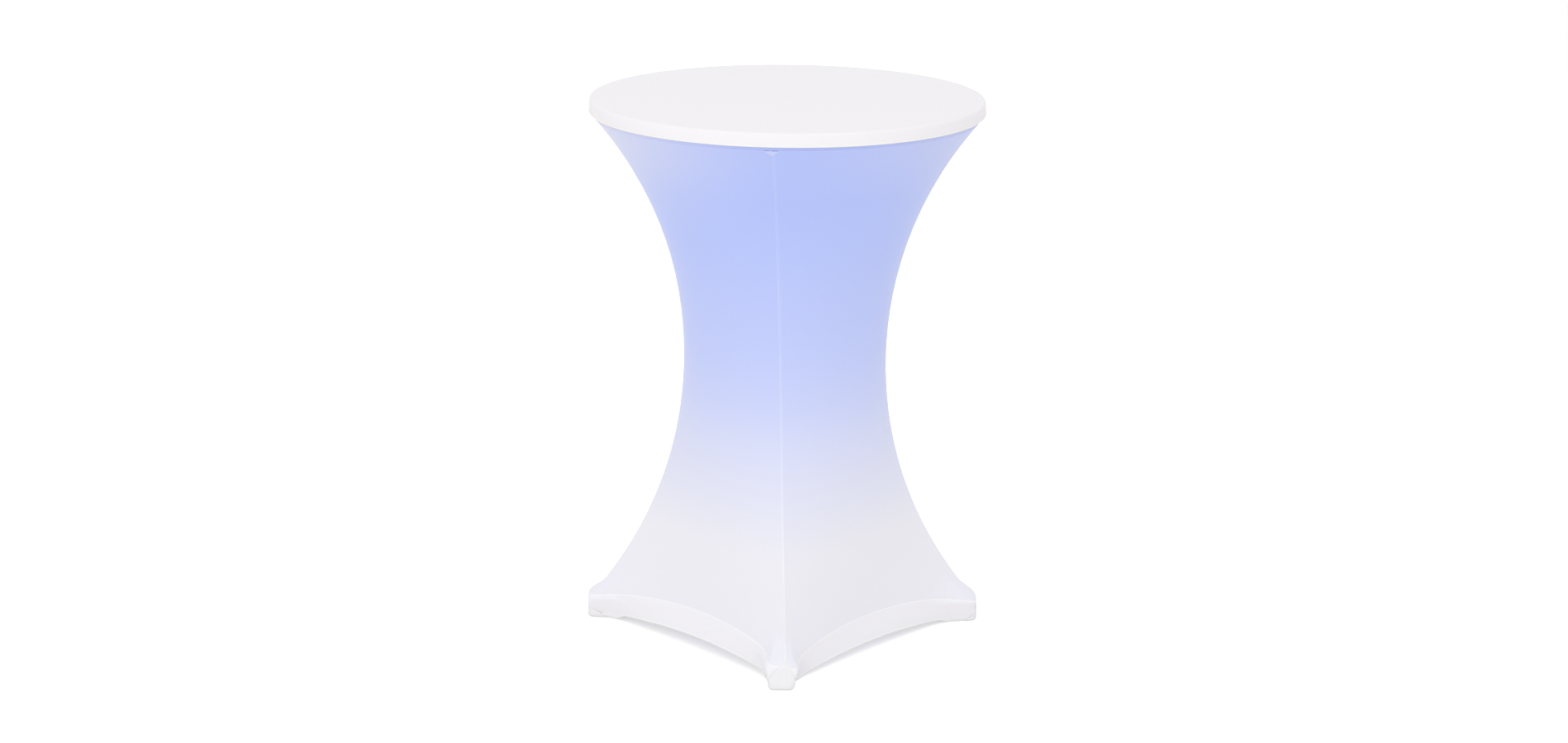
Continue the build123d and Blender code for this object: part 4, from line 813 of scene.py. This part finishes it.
cap_knit, cap_tree, cap_shader = new_finish(
    "plain_warp_knit", "#fbf9fd", Roughness=0.75, IOR=1.45, Sheen_Weight=0.2,
    Sheen_Roughness=0.5, Specular_IOR_Level=0.25)
cap_place = add_node(cap_tree, "ShaderNodeTexCoord").outputs["Object"]
knit_relief(cap_tree, cap_shader, cap_place)

cap_profile = [(cap_edge_radius - elastic_inset, cap_low + elastic_roll + elastic_inset)]
cap_profile += [(cap_edge_radius, cap_low + cap_edge_height), (cap_side, cap_low + cap_wall_height)]
cap_profile += quarter_round((cap_side - cap_round, cap_high - cap_round), cap_round, 0, 90, 9)
cap_profile += [(radius, cap_high) for radius in (0.36, 0.30, 0.22, 0.14, 0.07, 0.02, 0.0)]
top_cap = grid_piece("top_cap_cloth", lathe(cap_profile), cap_knit, closed=True)
thicken(top_cap, taut_thickness)
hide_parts("top_cap")
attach(top_cap, "root")

elastic_knit, elastic_tree, elastic_shader = new_finish(
    "woven_elastic_tape", "#fffff6", Roughness=0.7, IOR=1.45, Sheen_Weight=0.2)
press_in(elastic_tree, elastic_shader, grain(elastic_tree, 0.0016, 2.0), 0.0001)
roll_centre = (cap_edge_radius - elastic_inset, cap_low + elastic_roll)
roll_profile = quarter_round(roll_centre, elastic_roll, -180, 180, 13)
cap_roll = grid_piece("cap_elastic_roll", lathe(roll_profile), elastic_knit, closed=True)
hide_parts("cap_elastic")
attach(cap_roll, "root")


# Floor and light: a plain white floor, white daylight from all round and one large soft
# lamp from the upper left in front.
floor_size, floor_lift_strength = 14.0, 0.60
daylight_strength, backdrop_strength = 0.88, 1.0


def seen_directly(tree):
    """Mask that is 1 where the camera sees something, also in a gloss or through glass."""
    ray = add_node(tree, "ShaderNodeLightPath")
    mirrored = add_node(tree, "ShaderNodeMath", {
        0: ray.outputs["Is Camera Ray"], 1: ray.outputs["Is Glossy Ray"]}, operation="MAXIMUM")
    return add_node(tree, "ShaderNodeMath", {
        0: mirrored.outputs[0], 1: ray.outputs["Is Transmission Ray"],
    }, operation="MAXIMUM").outputs[0]


bpy.ops.mesh.primitive_plane_add(size=floor_size)
floor = bpy.context.object
floor.name = "studio_floor"
floor_paint = bpy.data.materials.new("matt_white_floor")
floor_paint.use_nodes = True
floor_tree = floor_paint.node_tree
floor_tree.nodes.clear()
floor_cover = add_node(floor_tree, "ShaderNodeBsdfDiffuse", {"Color": from_hex("#ebe9e6")})
floor_lift = add_node(floor_tree, "ShaderNodeMath", {
    0: seen_directly(floor_tree), 1: floor_lift_strength}, operation="MULTIPLY")
floor_glow = add_node(floor_tree, "ShaderNodeEmission", {"Strength": floor_lift.outputs[0]})
floor_both = add_node(floor_tree, "ShaderNodeAddShader", {
    0: floor_cover.outputs[0], 1: floor_glow.outputs[0]})
add_node(floor_tree, "ShaderNodeOutputMaterial", {"Surface": floor_both.outputs[0]})
floor.data.materials.append(floor_paint)

daylight = bpy.data.worlds.new("daylight")
bpy.context.scene.world = daylight
daylight.use_nodes = True
sky_tree = daylight.node_tree
sky_tree.nodes.clear()
sky_strength = add_node(sky_tree, "ShaderNodeMapRange", {
    "Value": seen_directly(sky_tree), "To Min": daylight_strength, "To Max": backdrop_strength})
sky = add_node(sky_tree, "ShaderNodeBackground", {"Strength": sky_strength.outputs["Result"]})
sky.inputs["Color"].default_value = (1, 1, 1, 1)
add_node(sky_tree, "ShaderNodeOutputWorld", {"Surface": sky.outputs[0]})

key_place, key_aim = Vector((-1.0, -4.3, 2.0)), Vector((0, 0, 0.6))
key_lamp = bpy.data.lights.new("soft_key", "AREA")
key_lamp.size = 2.2
key_lamp.energy = 26
key = bpy.data.objects.new("soft_key", key_lamp)
key.location = key_place
key.rotation_euler = (key_aim - key_place).to_track_quat("-Z", "Y").to_euler()
bpy.context.scene.collection.objects.link(key)


# Camera: where the photograph was taken from, in front of the table, a little above its top
# and tilted down. The focal length is in pixels of a picture as wide as the photograph.
camera_distance, camera_height = 4.9453, 1.9410
camera_pitch, camera_roll, camera_yaw = radians(16.042), radians(0.60), radians(-0.015)
photo_width, focal_pixels = 1900, 3131.9
camera_data = bpy.data.cameras.new("camera")
camera_data.sensor_width = 36
camera_data.lens = focal_pixels * camera_data.sensor_width / photo_width
camera = bpy.data.objects.new("camera", camera_data)
forward = Vector((sin(camera_yaw) * cos(camera_pitch), cos(camera_yaw) * cos(camera_pitch),
                  -sin(camera_pitch)))
level = Vector((cos(camera_yaw), -sin(camera_yaw), 0))
upright = level.cross(forward)
right = cos(camera_roll) * level + sin(camera_roll) * upright
up = -sin(camera_roll) * level + cos(camera_roll) * upright
camera.matrix_world = Matrix((
    (right.x, up.x, -forward.x, 0), (right.y, up.y, -forward.y, -camera_distance),
    (right.z, up.z, -forward.z, camera_height), (0, 0, 0, 1),
))
bpy.context.scene.collection.objects.link(camera)
bpy.context.scene.camera = camera
bpy.context.scene.view_settings.view_transform = "Standard"
